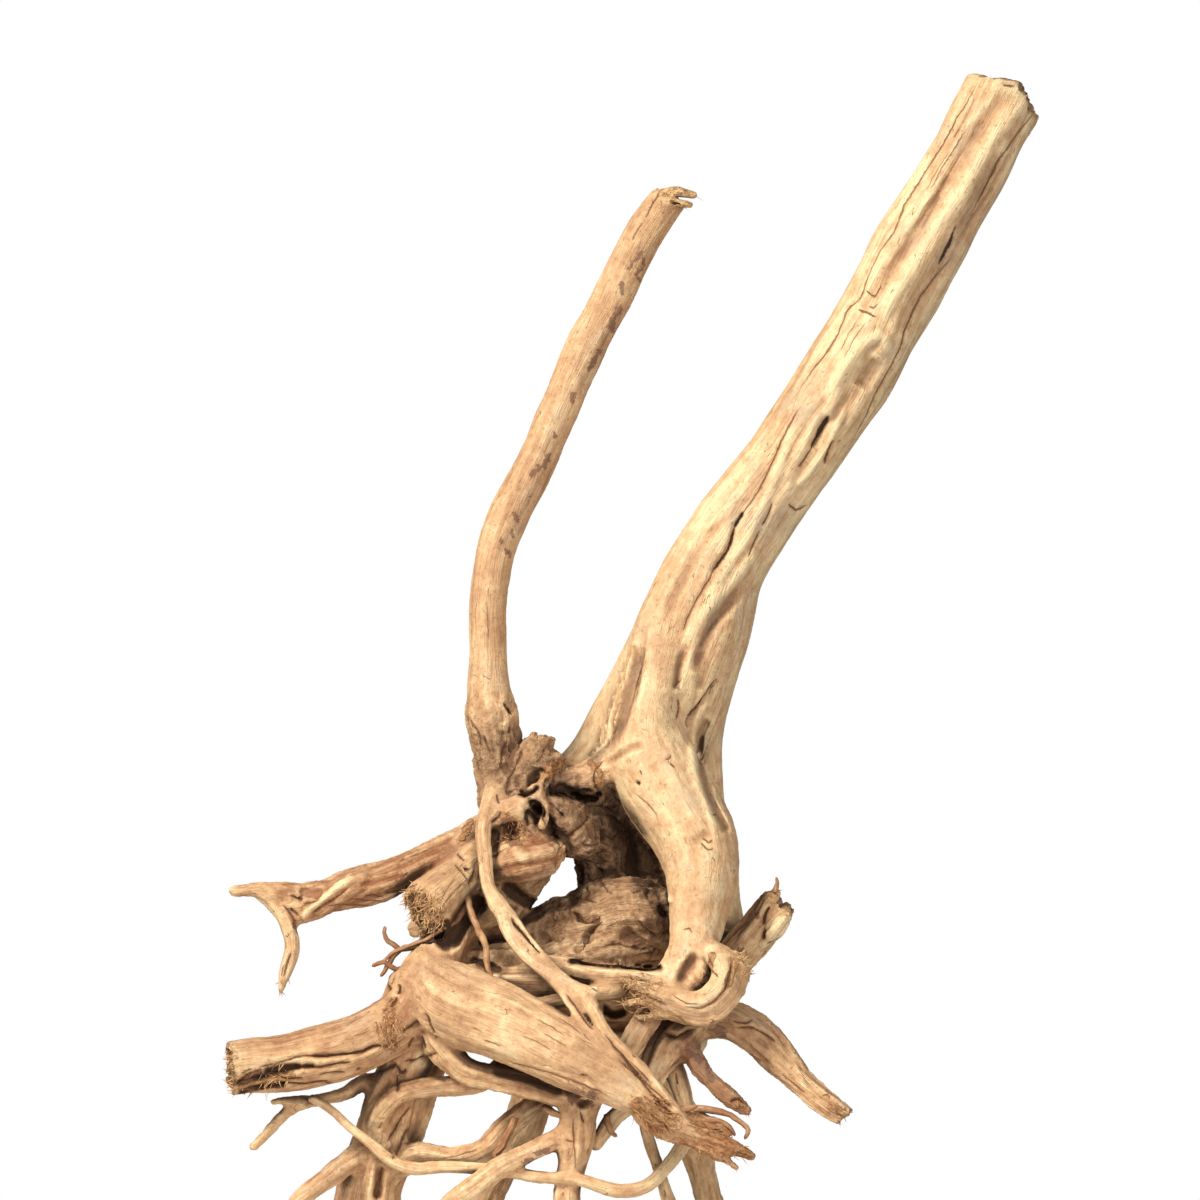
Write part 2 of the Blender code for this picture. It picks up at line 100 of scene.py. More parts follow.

# The pieces, and the roots of each: a finish, and a centreline of places with the radius at each one.
ROOTS = {
    "main_trunk": [
        ("trunk", [(185.5, 24, 586, TRUNK_RADIUS - 1), (179, 24, 574, TRUNK_RADIUS - 1.5),
            (164, 24, 545, TRUNK_RADIUS - 2), (142.5, 22, 508.5, TRUNK_RADIUS - 0.5),
            (123, 20, 473, TRUNK_RADIUS), (106, 18, 444, TRUNK_RADIUS + 0.5),
            (82.5, 16, 408.5, TRUNK_RADIUS), (57, 14, 373.5, TRUNK_RADIUS + 0.5),
            (39.5, 12, 346, TRUNK_RADIUS + 1.5), (31, 11, 320, TRUNK_RADIUS + 4.5),
            (22.5, 10, 298.5, TRUNK_RADIUS + 6), (14, 12, 273.5, TRUNK_RADIUS + 6),
            (6, 16, 252, TRUNK_RADIUS + 3)]),
        ("trunk", [(22, 16, 331, 12), (4, 20, 301, 12.5), (-8, 26, 276, 13), (-22, 30, 254, 11),
            (-40, 34, 238, 10)]),
    ],
    "trunk_base": [
        ("lobe", [(35, 10, 362, 8), (28, 4, 346, 12), (16, -2, 321, 14), (9.5, -8, 291, 16),
            (4.5, -12, 266, 19), (12, -16, 241, 22), (27, -22, 216, 21), (33, -30, 196, 18),
            (30.5, -38, 173.5, 14), (27, -46, 156, 12), (19.5, -52, 142, 11)]),
        ("root", [(2, -12, 258.5, 11), (-12, -12, 249, 8), (-23, -12, 242.5, 6.5)]),
        ("bark", [(-23, -12, 242.5, 6.5), (-33, -12, 242, 5.5), (-44, -14, 240, 5.5)]),
        ("trunk", [(38, 14, 288, 7), (34, 20, 261, 9), (34.5, 22, 236, 9), (38, 22, 216, 9),
            (42, 20, 186, 9), (46, 12, 158, 9.5)]),
        ("trunk", [(22, 30, 300, 13), (12, 40, 262, 15)]),
        ("bark", [(12, 40, 262, 15), (-4, 46, 224, 16), (-14, 50, 190, 15), (-10, 46, 150, 17)]),
    ],
    "side_branch": [
        ("branch", [(22, 8, 540, BRANCH_RADIUS - 0.8), (7, 8, 518.5, BRANCH_RADIUS - 0.3),
            (-4, 8, 498.5, BRANCH_RADIUS), (-13, 8, 481, BRANCH_RADIUS), (-22, 8, 463.5, BRANCH_RADIUS),
            (-30.5, 7, 445, BRANCH_RADIUS), (-39, 6, 426, BRANCH_RADIUS), (-46.5, 5, 408.5, BRANCH_RADIUS),
            (-54.5, 4, 391, BRANCH_RADIUS), (-63, 2, 373.5, BRANCH_RADIUS), (-70, 0, 356, BRANCH_RADIUS),
            (-73, -2, 336, BRANCH_RADIUS - 0.5), (-74, -3, 316, BRANCH_RADIUS - 0.8),
            (-74, -4, 298.5, BRANCH_RADIUS - 0.5), (-73, -5, 281, BRANCH_RADIUS + 1.2),
            (-71.5, -6, 272, BRANCH_RADIUS + 2.2)]),
        ("bark", [(-71.5, -6, 272, BRANCH_RADIUS + 2.2), (-70.5, -6, 264, BRANCH_RADIUS + 2.5),
            (-68, -6, 250, BRANCH_RADIUS + 2), (-66, -8, 230, BRANCH_RADIUS + 1.5)]),
        ("bark", [(-58, -10, 234, 10), (-55, -13, 246, 8), (-51, -15, 254, 6.5), (-46.5, -15, 262, 5.5)]),
        ("bark", [(-58, -12, 244, 7), (-54.5, -12, 252, 5), (-52, -12, 256, 4)]),
        ("bark", [(-48, -16, 250, 6), (-42, -15, 251, 5), (-40, -15, 248, 4)]),
        ("splinter", [(12, 5, 534, 3.2), (20, 3, 535.5, 2.8), (29, 2, 534, 2.0)]),
        ("splinter", [(16, 1, 530.5, 2.6), (27, -1, 529, 1.8)]),
    ],
    "root_crown": [
        ("bark", [(-60.5, -10, 234, 12), (-57, -14, 216, 15), (-60, -14, 200, 16), (-65, -12, 186, 14),
            (-72, -8, 172, 13)]),
        ("bark", [(-48, -4, 222, 13), (-34, 0, 216, 13), (-21, 10, 210, 13), (-17, 16, 194, 12),
            (-14, 16, 178, 14)]),
        ("weathered", [(-52, 2, 160, 13), (-38, 2, 165, 15), (-22, -4, 167, 19), (-4, -6, 171, 21),
            (10, -2, 168, 18), (34, 8, 160, 15)]),
        ("weathered", [(-16, -16, 152, 14), (-40, -18, 148, 12), (-62, -22, 148, 11), (-82, -26, 150, 8),
            (-94, -30, 153, 6)]),
        ("dim", [(-69, -24, 198, 9.5), (-59, -28, 201, 11.5), (-49, -28, 203, 10.5), (-42, -24, 206, 7)]),
        ("dim", [(-72, -24, 222, 4), (-64, -28, 228, 3.6), (-57, -29, 232, 3), (-51, -28, 235, 2.8),
            (-46, -26, 240, 2.6), (-43, -22, 246, 2.6)]),
        ("dim", [(-50, -28, 236, 2.4), (-46, -29, 231, 2.0), (-45, -30, 225, 1.8), (-47, -31, 219, 2.0)]),
        ("lobe", [(-65, -24, 224, 7.5), (-58, -27, 227, 6)]),
        ("bark", [(-40, -20, 228, 8), (-33, -18, 222, 9), (-28, -14, 212, 9)]),
        ("root", [(-66, 0, 148, 17), (-40, 6, 140, 18), (-10, 8, 138, 20), (18, 6, 138, 19),
            (38, 0, 138, 14)]),
        ("root", [(-62, 2, 122, 17), (-36, 12, 112, 18), (-6, 14, 108, 18), (20, 4, 116, 16)]),
        ("root", [(-74, 6, 170, 14), (-68, 24, 156, 16), (-44, 38, 146, 17), (-12, 42, 142, 20),
            (20, 34, 146, 18)]),
        ("root", [(20, 34, 146, 17), (38, 24, 168, 12), (42, 24, 200, 9)]),
        ("root", [(-58, 8, 216, 11), (-64, 24, 206, 11), (-71, 30, 186, 11), (-72, 26, 166, 13)]),
        ("root", [(-40, 34, 238, 10), (-58, 30, 226, 10), (-66, 26, 206, 10)]),
        ("bark", [(-34, 30, 240, 10), (-10, 32, 228, 14), (5, 30, 204, 17), (12, 28, 180, 18)]),
    ],
    "left_roots": [
        ("dim", [(-66, -10, 220, 8), (-75, -12, 217.5, 7), (-87, -14, 211, 6.8), (-100.5, -18, 203.5, 7.5),
            (-115.5, -22, 195.5, 8.5), (-130.5, -26, 189, 9), (-145.5, -28, 185.5, 9),
            (-158, -30, 183.5, 7.8), (-168, -31, 184.5, 5.5), (-185, -32, 186.5, 3.8),
            (-200, -32, 186.5, 2.8)]),
        ("dim", [(-138, -34, 190, 4), (-150, -36, 183, 5), (-160, -35, 177, 4.5), (-168, -33, 173, 3.2)]),
        ("pale", [(-183.5, -31, 183, 4), (-175.5, -33, 174, 3.7), (-172, -34, 165, 3.7),
            (-171.5, -35, 156, 3.6), (-175, -36, 146, 3), (-177, -37, 138, 1.6)]),
        ("root", [(-160, -31, 182, 6), (-168, -33, 179, 5), (-173, -33, 178, 3.6)]),
        ("front", [(-64, -12, 204, 12), (-78, -18, 200, 11), (-90.5, -28, 189, 12.5),
            (-102, -38, 180, 14)]),
        ("bark", [(-84, -24, 186, 10), (-96, -34, 170, 12)]),
        ("log", [(-72, -8, 176, 13), (-84, -20, 171, 12), (-94, -32, 165, 12.5), (-100.5, -38, 151, 12.5),
            (-108, -44, 137, 13.5), (-117, -46, 123.5, 14), (-133, -48, 113, 14), (-153, -50, 106, 14),
            (-173, -53, 101.5, 14), (-200, -58, 99, 13.5)]),
        ("log", [(-114, -38, 130, 12), (-118, -40, 142, 5)]),
        ("root", [(-134, -26, 92, 4), (-148, -30, 85, 2.8), (-163, -34, 81.5, 3), (-173, -36, 76.5, 2.6),
            (-190.5, -40, 60, 2.2)]),
        ("root", [(-166, -35, 82, 2.4), (-173, -37, 82.5, 2.0), (-180, -38, 82, 1.4)]),
    ],
    "front_roots": [
        ("front", [(-104, -46, 142, 14), (-90, -56, 131.5, 19.5), (-73, -64, 124.5, 19),
            (-53, -72, 116, 18), (-33, -80, 106.5, 16), (-15.5, -86, 96.5, 13), (-0.5, -90, 87, 9.5),
            (10, -92, 79, 7), (18, -93, 73, 5.5)]),
        ("shredded", [(8, -91, 80, 7), (18, -93, 73, 5.5), (30, -94, 67.5, 4.6), (42, -95, 63, 4.2),
            (50, -96, 60, 3.2), (56.5, -96, 57, 2.0)]),
        ("shredded", [(6, -90, 76, 6), (16, -92, 68, 4), (26, -93, 64, 2.8), (36, -95, 59, 2.4),
            (44, -95, 55, 1.6), (49, -95, 51.5, 1.2)]),
        ("shredded", [(16, -88, 78, 5), (28, -89, 75, 4.2), (40, -90, 72, 2.6), (46, -91, 68, 1.6)]),
        ("pale", [(-70, -14, 236, 5), (-75.5, -30, 218, 4.0), (-75, -37, 203, 3.6), (-73.5, -42, 189, 3.6),
            (-67, -48, 176, 4.0), (-62.5, -52, 165, 3.2), (-54.5, -58, 154, 3.2), (-40.5, -69, 143.5, 3.5),
            (-30.5, -76, 139, 3.8), (-25.5, -80, 135, 4.2), (-20, -85, 126.5, 3.2), (-14.5, -90, 117, 2.9),
            (-4, -92, 107, 3.0), (6, -93, 95.5, 3.0), (16, -95, 83.5, 2.7), (24, -97, 73, 2.4),
            (28, -97, 68.5, 1.6)]),
        ("pale", [(-26, -80, 137, 2.8), (-20.5, -83, 139, 1.6)]),
        ("pale", [(-39, -72, 142, 2.4), (-35, -78, 135, 2.2), (-30, -82, 128, 2.2), (-25, -87, 120, 2.2),
            (-20, -90, 113, 2.4), (-13, -91, 107, 2.6)]),
        ("pale", [(-69, -46, 180, 3.0), (-60, -51, 171, 2.6), (-52, -56, 161, 2.4), (-44, -62, 151, 2.6),
            (-37, -70, 142.5, 3.2)]),
        ("root", [(-76, -22, 142, 10), (-60, -38, 139.5, 10), (-44, -38, 139.5, 10), (-30, -32, 139.5, 8),
            (-16, -22, 142, 8)]),
        ("root", [(-52, -34, 147, 6), (-38, -46, 149.5, 5), (-23, -50, 146.5, 4.5), (-8, -52, 145, 4.5),
            (7, -54, 142.5, 5)]),
        ("pale", [(-66, -44, 133, 5), (-53, -52, 130, 4), (-38, -54, 132.5, 4), (-23, -54, 136.5, 4),
            (-8, -52, 138.5, 4.5)]),
        ("root", [(-90, -46, 138, 10), (-80, -34, 142, 10), (-70, -18, 146, 12)]),
        ("root", [(-98, -50, 112, 8), (-86, -52, 99, 7), (-72, -52, 94.5, 6.5), (-56, -54, 92, 7),
            (-42, -54, 88, 7), (-28, -50, 84, 8)]),
    ],
    "right_roots": [
        ("root", [(14, -52, 137, 6), (22, -62, 131, 7), (34, -66, 127.5, 7.5), (44, -64, 136, 7.5),
            (47, -60, 147, 6.5), (42, -56, 155, 5.5), (34, -50, 157, 6)]),
        ("dim", [(24, -50, 152, 8), (29, -53, 144, 9.5)]),
        ("lobe", [(38, -60, 156, 4.5), (43, -64, 149, 5.5), (42, -67, 141, 6), (35, -69, 134.5, 5.5),
            (26, -68, 132.5, 4.5), (18, -65, 136.5, 2.6)]),
        ("frayed", [(22, -62, 133, 5), (12, -64, 136, 4), (4, -64, 138.5, 2.6), (-3, -63, 141, 1.6),
            (-7, -63, 143, 1.1)]),
        ("frayed", [(22, -60, 129, 5), (11, -62, 131, 3.4), (2, -62, 132, 2.2), (-6, -61, 131, 1.2)]),
        ("frayed", [(24, -60, 127, 4), (14, -61, 126.5, 2.6), (6, -61, 124.5, 1.6), (0, -60, 125, 1.0)]),
        ("frayed", [(44, -60, 152, 5), (50, -60, 151, 4), (52, -60, 146, 3.4), (51, -60, 139, 3)]),
        ("root", [(36, 0, 138, 11), (48, -10, 151, 9.5), (58.5, -12, 163, 10), (70, -14, 178.5, 9.3)]),
        ("fresh", [(63, -21, 160, 2.0), (69, -23.5, 167, 4.6), (74, -22, 172.5, 3.8),
            (76.5, -21, 175, 1.6)]),
        ("splinter", [(60, -18, 168, 2.0), (65, -19, 178, 3.8), (69, -19, 185, 2.2)]),
        ("root", [(16, -16, 124, 12), (34, -30, 122.5, 9), (49, -34, 121.5, 9.5), (61.5, -40, 113, 9.5),
            (74, -46, 100.5, 8), (86, -52, 88.5, 6.5), (97, -56, 79.5, 6.3), (102.5, -58, 75.5, 5.6)]),
        ("brown", [(14, -30, 114, 9), (26, -40, 107, 5.4), (32, -46, 98, 4.2), (38, -49, 91.5, 3.6),
            (44, -51, 86, 4.2), (50, -53, 81, 3.6), (54, -54, 78.5, 2.4)]),
        ("root", [(20, -46, 139, 8), (9.5, -50, 130, 7), (2, -52, 118, 6.5), (-6, -54, 106, 6),
            (-18, -54, 93, 7), (-29, -52, 80, 8)]),
        ("root", [(27, -28, 123, 11), (26, -34, 119.5, 10), (14.5, -40, 108, 9), (7, -44, 95, 7),
            (5, -42, 78, 4)]),
    ],
    "leg_roots": [
        ("root", [(-98, -38, 130, 12), (-111, -34, 108, 12), (-119.5, -30, 90, 12.5),
            (-125, -26, 72, LEFT_LEG_RADIUS - 0.5), (-128, -24, 57, LEFT_LEG_RADIUS - 0.5),
            (-132, -22, 42, LEFT_LEG_RADIUS), (-134, -20, 26, LEFT_LEG_RADIUS + 0.5),
            (-137, -18, 0, LEFT_LEG_RADIUS + 1), (-138, -17, BELOW_FLOOR, LEFT_LEG_RADIUS + 1)]),
        ("root", [(-98, -26, 122, 12), (-105, -20, 106, 12.5), (-111, -18, 88, 12), (-117, -18, 66, 11),
            (-127, -18, 44, 11)]),
        ("root", [(-135.5, -30, 57, 6), (-148, -40, 48, 5.5), (-162, -50, 37, 4.5), (-178, -57, 22, 4),
            (-190, -60, 5, 3.5)]),
        ("root", [(-126, -34, 61, 5), (-130, -38, 70, 4.5), (-125, -42, 79, 5), (-115, -44, 86.5, 5),
            (-97.5, -44, 90, 5), (-80, -42, 91.5, 5), (-67.5, -38, 98, 5), (-60, -30, 107, 6)]),
        ("root", [(-126, -26, 47, 8), (-117.5, -30, 50, 7), (-105, -34, 55, 6.5), (-90, -36, 53.5, 6),
            (-75, -36, 58.5, 6), (-65, -34, 68.5, 6), (-52.5, -32, 78.5, 5.5), (-38, -24, 87, 6),
            (-26, -10, 96, 8)]),
        ("pale", [(-160.5, -44, 84, 2.4), (-149.5, -46, 77, 2.3), (-139.5, -48, 68, 2.3),
            (-129.5, -50, 59.5, 2.6), (-121, -50, 53, 3), (-109.5, -50, 49, 3), (-92.5, -52, 50.5, 3),
            (-72.5, -54, 48.5, 3), (-52.5, -56, 45.5, 3), (-30.5, -60, 44, 3), (-10.5, -60, 39, 3.4),
            (4.5, -56, 40, 3.4), (14, -50, 48.5, 3.4), (21.5, -46, 58, 3.4), (26.5, -42, 68, 3.4),
            (24, -38, 81, 4), (18, -34, 98, 5)]),
        ("root", [(-16, -40, 101, 9), (-26, -48, 90, 8), (-29.5, -52, 68, 8.5), (-31.5, -52, 53.5, 7.5),
            (-34, -52, 38.5, 6.8), (-36, -52, 16, 7), (-38, -53, 0, 8), (-38, -53, BELOW_FLOOR, 8)]),
        ("root", [(-30, -52, 68, 5), (-40.5, -54, 63, 4.5), (-52.5, -56, 57.5, 4.5), (-67.5, -60, 49.5, 5),
            (-78.5, -64, 41.5, 5.5), (-91.5, -69, 32, 5.5), (-108, -76, 15, 5.5), (-118, -80, 0, 6),
            (-124, -82, BELOW_FLOOR, 6)]),
        ("pale", [(2, -44, 86, 5), (-4, -46, 80, 4.5), (-12, -46, 73, 4.5), (-20, -46, 61, 3.2)]),
        ("pale", [(4.5, -42, 86, 5), (4.5, -40, 72, 3.2), (7, -40, 60.5, 3), (11, -41, 48, 3),
            (16, -42, 33, 3.4), (24, -44, 12, 4.5), (30, -46, 0, 5.5), (34, -47, BELOW_FLOOR, 6)]),
        ("root", [(-2, 34, 118, 13), (10, 44, 92, 10), (22, 50, 72, 9), (29, 53, 56, 8), (34, 58, 41, 7),
            (38, 63, 27, 7), (46, 70, 10, 7.5), (52, 74, 0, 9), (58, 77, BELOW_FLOOR, 9)]),
    ],
    "rear_roots": [
        ("root", [(-36, 38, 128, 14), (-48, 46, 104, 11), (-52, 54, 82, 9.5), (-62, 62, 56, 9),
            (-76, 70, 28, 9), (-88, 78, 0, 11), (-94, 82, BELOW_FLOOR, 11)]),
        ("root", [(-8, 46, 150, 15), (7, 60, 150, 11), (23, 73, 143, 9.5), (34, 84, 133, 8),
            (39, 92, 124, 6), (42, 97, 117, 4)]),
        ("root", [(-56, 34, 158, 13), (-72, 50, 164, 11), (-86, 66, 172, 9), (-98, 80, 172, 7),
            (-112, 92, 164, 4.5)]),
        ("root", [(-14, 50, 176, 14), (-12, 66, 186, 11), (-14, 80, 192, 10)]),
    ],
}

# Thin roots that are tubes of their own: how brown they are, and their centrelines and radii.
HAIR_ROOTS = [
    (0.5, [(-85, -33, 187, 2.2), (-83, -38, 180, 1.9), (-80.5, -42, 172, 1.7), (-77, -46, 165, 1.9),
           (-74.5, -50, 156, 1.7), (-73, -54, 147, 1.6), (-69.5, -58, 138, 1.4), (-68.5, -61, 133, 1.0)]),
    (0.6, [(-83, -35, 181, 1.6), (-90, -38, 171, 1.4), (-98, -42, 166.5, 1.2), (-107.5, -44, 161, 1.2),
           (-118, -44, 158, 1.1), (-126, -44, 151, 0.8)]),
    (0.9, [(-104, -40, 161, 2.4), (-110.5, -41, 159, 1.7), (-119, -42, 156, 1.5), (-124, -43, 149, 1.3),
           (-127, -44, 144.5, 1.0)]),
    (0.9, [(-117, -42, 156.5, 1.4), (-124, -43, 162.5, 1.3), (-124.5, -43, 168.5, 0.9)]),
    (0.9, [(-113, -42, 150, 2.0), (-119, -43, 147.5, 1.4), (-126, -44, 151.5, 1.2),
           (-131, -44, 149.5, 0.9)]),
    (0.9, [(22, -88, 80, 2.6), (32, -90, 80, 2.0), (42, -91, 79, 1.8), (50, -92, 75, 1.5),
           (55, -92, 70, 1.3), (54, -92, 66, 1.0)]),
    (0.9, [(26, -90, 76, 2.2), (38, -91, 74.5, 1.6), (46, -92, 71, 1.3), (48, -92, 67.5, 0.9)]),
    (0.8, [(10, -92, 76, 1.8), (22, -94, 79.5, 1.3), (30, -94, 81.5, 0.8)]),
    (0.5, [(-46, -50, 80, 2.0), (-41, -54, 77, 1.7), (-36, -55, 75, 1.4), (-30, -54, 76, 1.8)]),
    (0.5, [(-15, -50, 76, 1.8), (-13, -54, 68, 1.5), (-10, -54, 66, 1.1)]),
    (0.7, [(-60, -46, 74, 2.0), (-66, -47, 60, 1.7), (-70, -48, 55, 1.6), (-64, -49, 51, 1.3)]),
    (0.3, [(69, -22, 186, 1.4), (70, -22, 190, 1.0), (69.5, -22, 192.5, 0.6)]),
]


class Finish(NamedTuple):
    """How one kind of root looks. Shares run from 0 to 1."""

    flute: float   # depth of its long folds, as a part of its radius
    ridge: float   # depth of its grain ridges in mm
    lump: float    # height of its bark lumps in mm
    bark: float    # share of rough dark bark
    polish: float  # share that is worn smooth and mottled
    brown: float   # how much redder and darker it is
    torn: float    # share of torn fibres


FINISHES = {
    "trunk": Finish(0.050, 0.10, 0.15, 0.0, 0.5, -0.42, 0.0),
    "lobe": Finish(0.030, 0.08, 0.35, 0.0, 1.0, -0.25, 0.0),
    "branch": Finish(0.045, 0.07, 0.25, 0.05, 0.6, 0.15, 0.0),
    "root": Finish(0.130, 0.12, 0.60, 0.15, 0.3, 0.22, 0.0),
    "dim": Finish(0.130, 0.12, 0.60, 0.20, 0.3, 0.62, 0.0),
    "pale": Finish(0.110, 0.08, 0.20, 0.0, 0.4, 0.0, 0.0),
    "splinter": Finish(0.200, 0.10, 0.00, 0.0, 0.0, 0.3, 0.5),
    "fresh": Finish(0.200, 0.10, 0.00, 0.0, 0.0, -0.8, 0.0),
    "frayed": Finish(0.300, 0.40, 0.60, 0.1, 0.0, 0.2, 0.75),
    "shredded": Finish(0.300, 0.40, 0.60, 0.1, 0.0, 1.1, 0.75),
    "log": Finish(0.045, 0.16, 0.35, 0.05, 0.4, 0.38, 0.0),
    "front": Finish(0.045, 0.14, 0.35, 0.0, 0.4, 0.08, 0.0),
    "weathered": Finish(0.130, 0.45, 1.80, 0.60, 0.0, 0.15, 0.0),
    "brown": Finish(0.120, 0.15, 1.10, 0.50, 0.0, 1.9, 0.0),
    "bark": Finish(0.130, 0.25, 2.10, 1.0, 0.0, 0.3, 0.0),
}

# An end that is less ragged than this was sawn, and looks this much torn.
SAWN_RAGGED = 0.8
SAWN_SHARE = 0.45

# Finishes of the splinters that stand past a broken end.
PAST_CUTS = ("splinter", "fresh")

# Broken and sawn ends: a point on the cut, which way it faces, how ragged it is, and how far it reaches.
CUTS = [
    ((180, 24, 592.0), (0.17, 0.0, 0.98), 0.5, 36),
    ((197, 24, 580.0), (0.89, 0.0, 0.46), 2.4, 30),
    ((16.5, 8, 532.5), (0.50, 0.0, 0.86), 1.6, 17),
    ((-200.5, -58, 96.0), (-0.98, -0.18, -0.05), 2.2, 22),
    ((-106.5, -42, 178.0), (-0.64, -0.56, -0.52), 2.4, 18),
    ((-46, -15, 262.5), (0.25, 0.0, 0.97), 2.2, 9),
    ((71, -14, 180.0), (0.62, -0.25, 0.74), 3.8, 14),
    ((103, -58, 75.0), (0.72, -0.20, -0.66), 1.0, 10),
    ((-14, 88, 194.0), (0.0, 0.97, 0.24), 2.0, 18),
    ((-113, 93, 164.0), (-0.75, 0.62, -0.2), 1.2, 9),
]

# Tufts of torn fibres: a place, how far round it they grow, which way they point, their length, how many
# there are, and how pale they are, from 0 to 1.
TUFTS = [
    ((26, 8, 534), 9, (0.8, -0.1, 0.1), 3, 16, 0.4),
    ((200, 24, 574), 12, (0.6, 0.0, -0.3), 1.5, 14, 0.2),
    ((-200, -58, 96), 15, (-0.9, -0.2, -0.3), 2.5, 160, 0.9),
    ((-178, -69, 96), 9, (-0.7, -0.4, -0.5), 5, 46, 0.7),
    ((-107, -44, 177), 14, (-0.35, -0.6, -0.5), 4, 330, 1.0),
    ((-122, -56, 118), 9, (-0.3, -0.6, -0.5), 4, 130, 0.4),
    ((71, -16, 180), 8, (0.6, -0.3, 0.5), 1.5, 16, 0.5),
    ((52, -62, 150), 7, (0.8, -0.2, 0.3), 4, 46, 0.8),
    ((4, -62, 136), 12, (-0.6, -0.6, 0.1), 5, 170, 0.7),
    ((-5, -63, 141), 7, (-0.75, -0.5, 0.35), 4, 60, 1.0),
    ((6, -98, 79), 10, (0.85, -0.25, -0.45), 7, 190, 0.1),
    ((26, -96, 68), 8, (0.9, -0.15, -0.35), 6, 50, 0.1),
    ((46, -97, 60), 8, (0.9, -0.1, -0.3), 4, 30, 0.2),
    ((53, -54, 79), 4, (0.8, -0.2, -0.5), 2, 20, 0.0),
    ((102, -58, 75), 6, (0.6, -0.3, -0.6), 1.5, 26, 0.3),
    ((-60, -26, 214), 8, (0.3, -0.8, -0.5), 4, 130, 0.1),
    ((-20, -34, 118), 14, (0.3, -0.5, -0.7), 5, 40, 0.2),
    ((-175, -36, 140), 5, (-0.2, -0.2, -0.9), 2.5, 20, 0.5),
    ((-186, -60, 12), 6, (-0.6, -0.5, -0.4), 3, 16, 0.3),
    ((-14, 86, 194), 12, (0.0, 0.9, 0.2), 3, 60, 0.5),
]
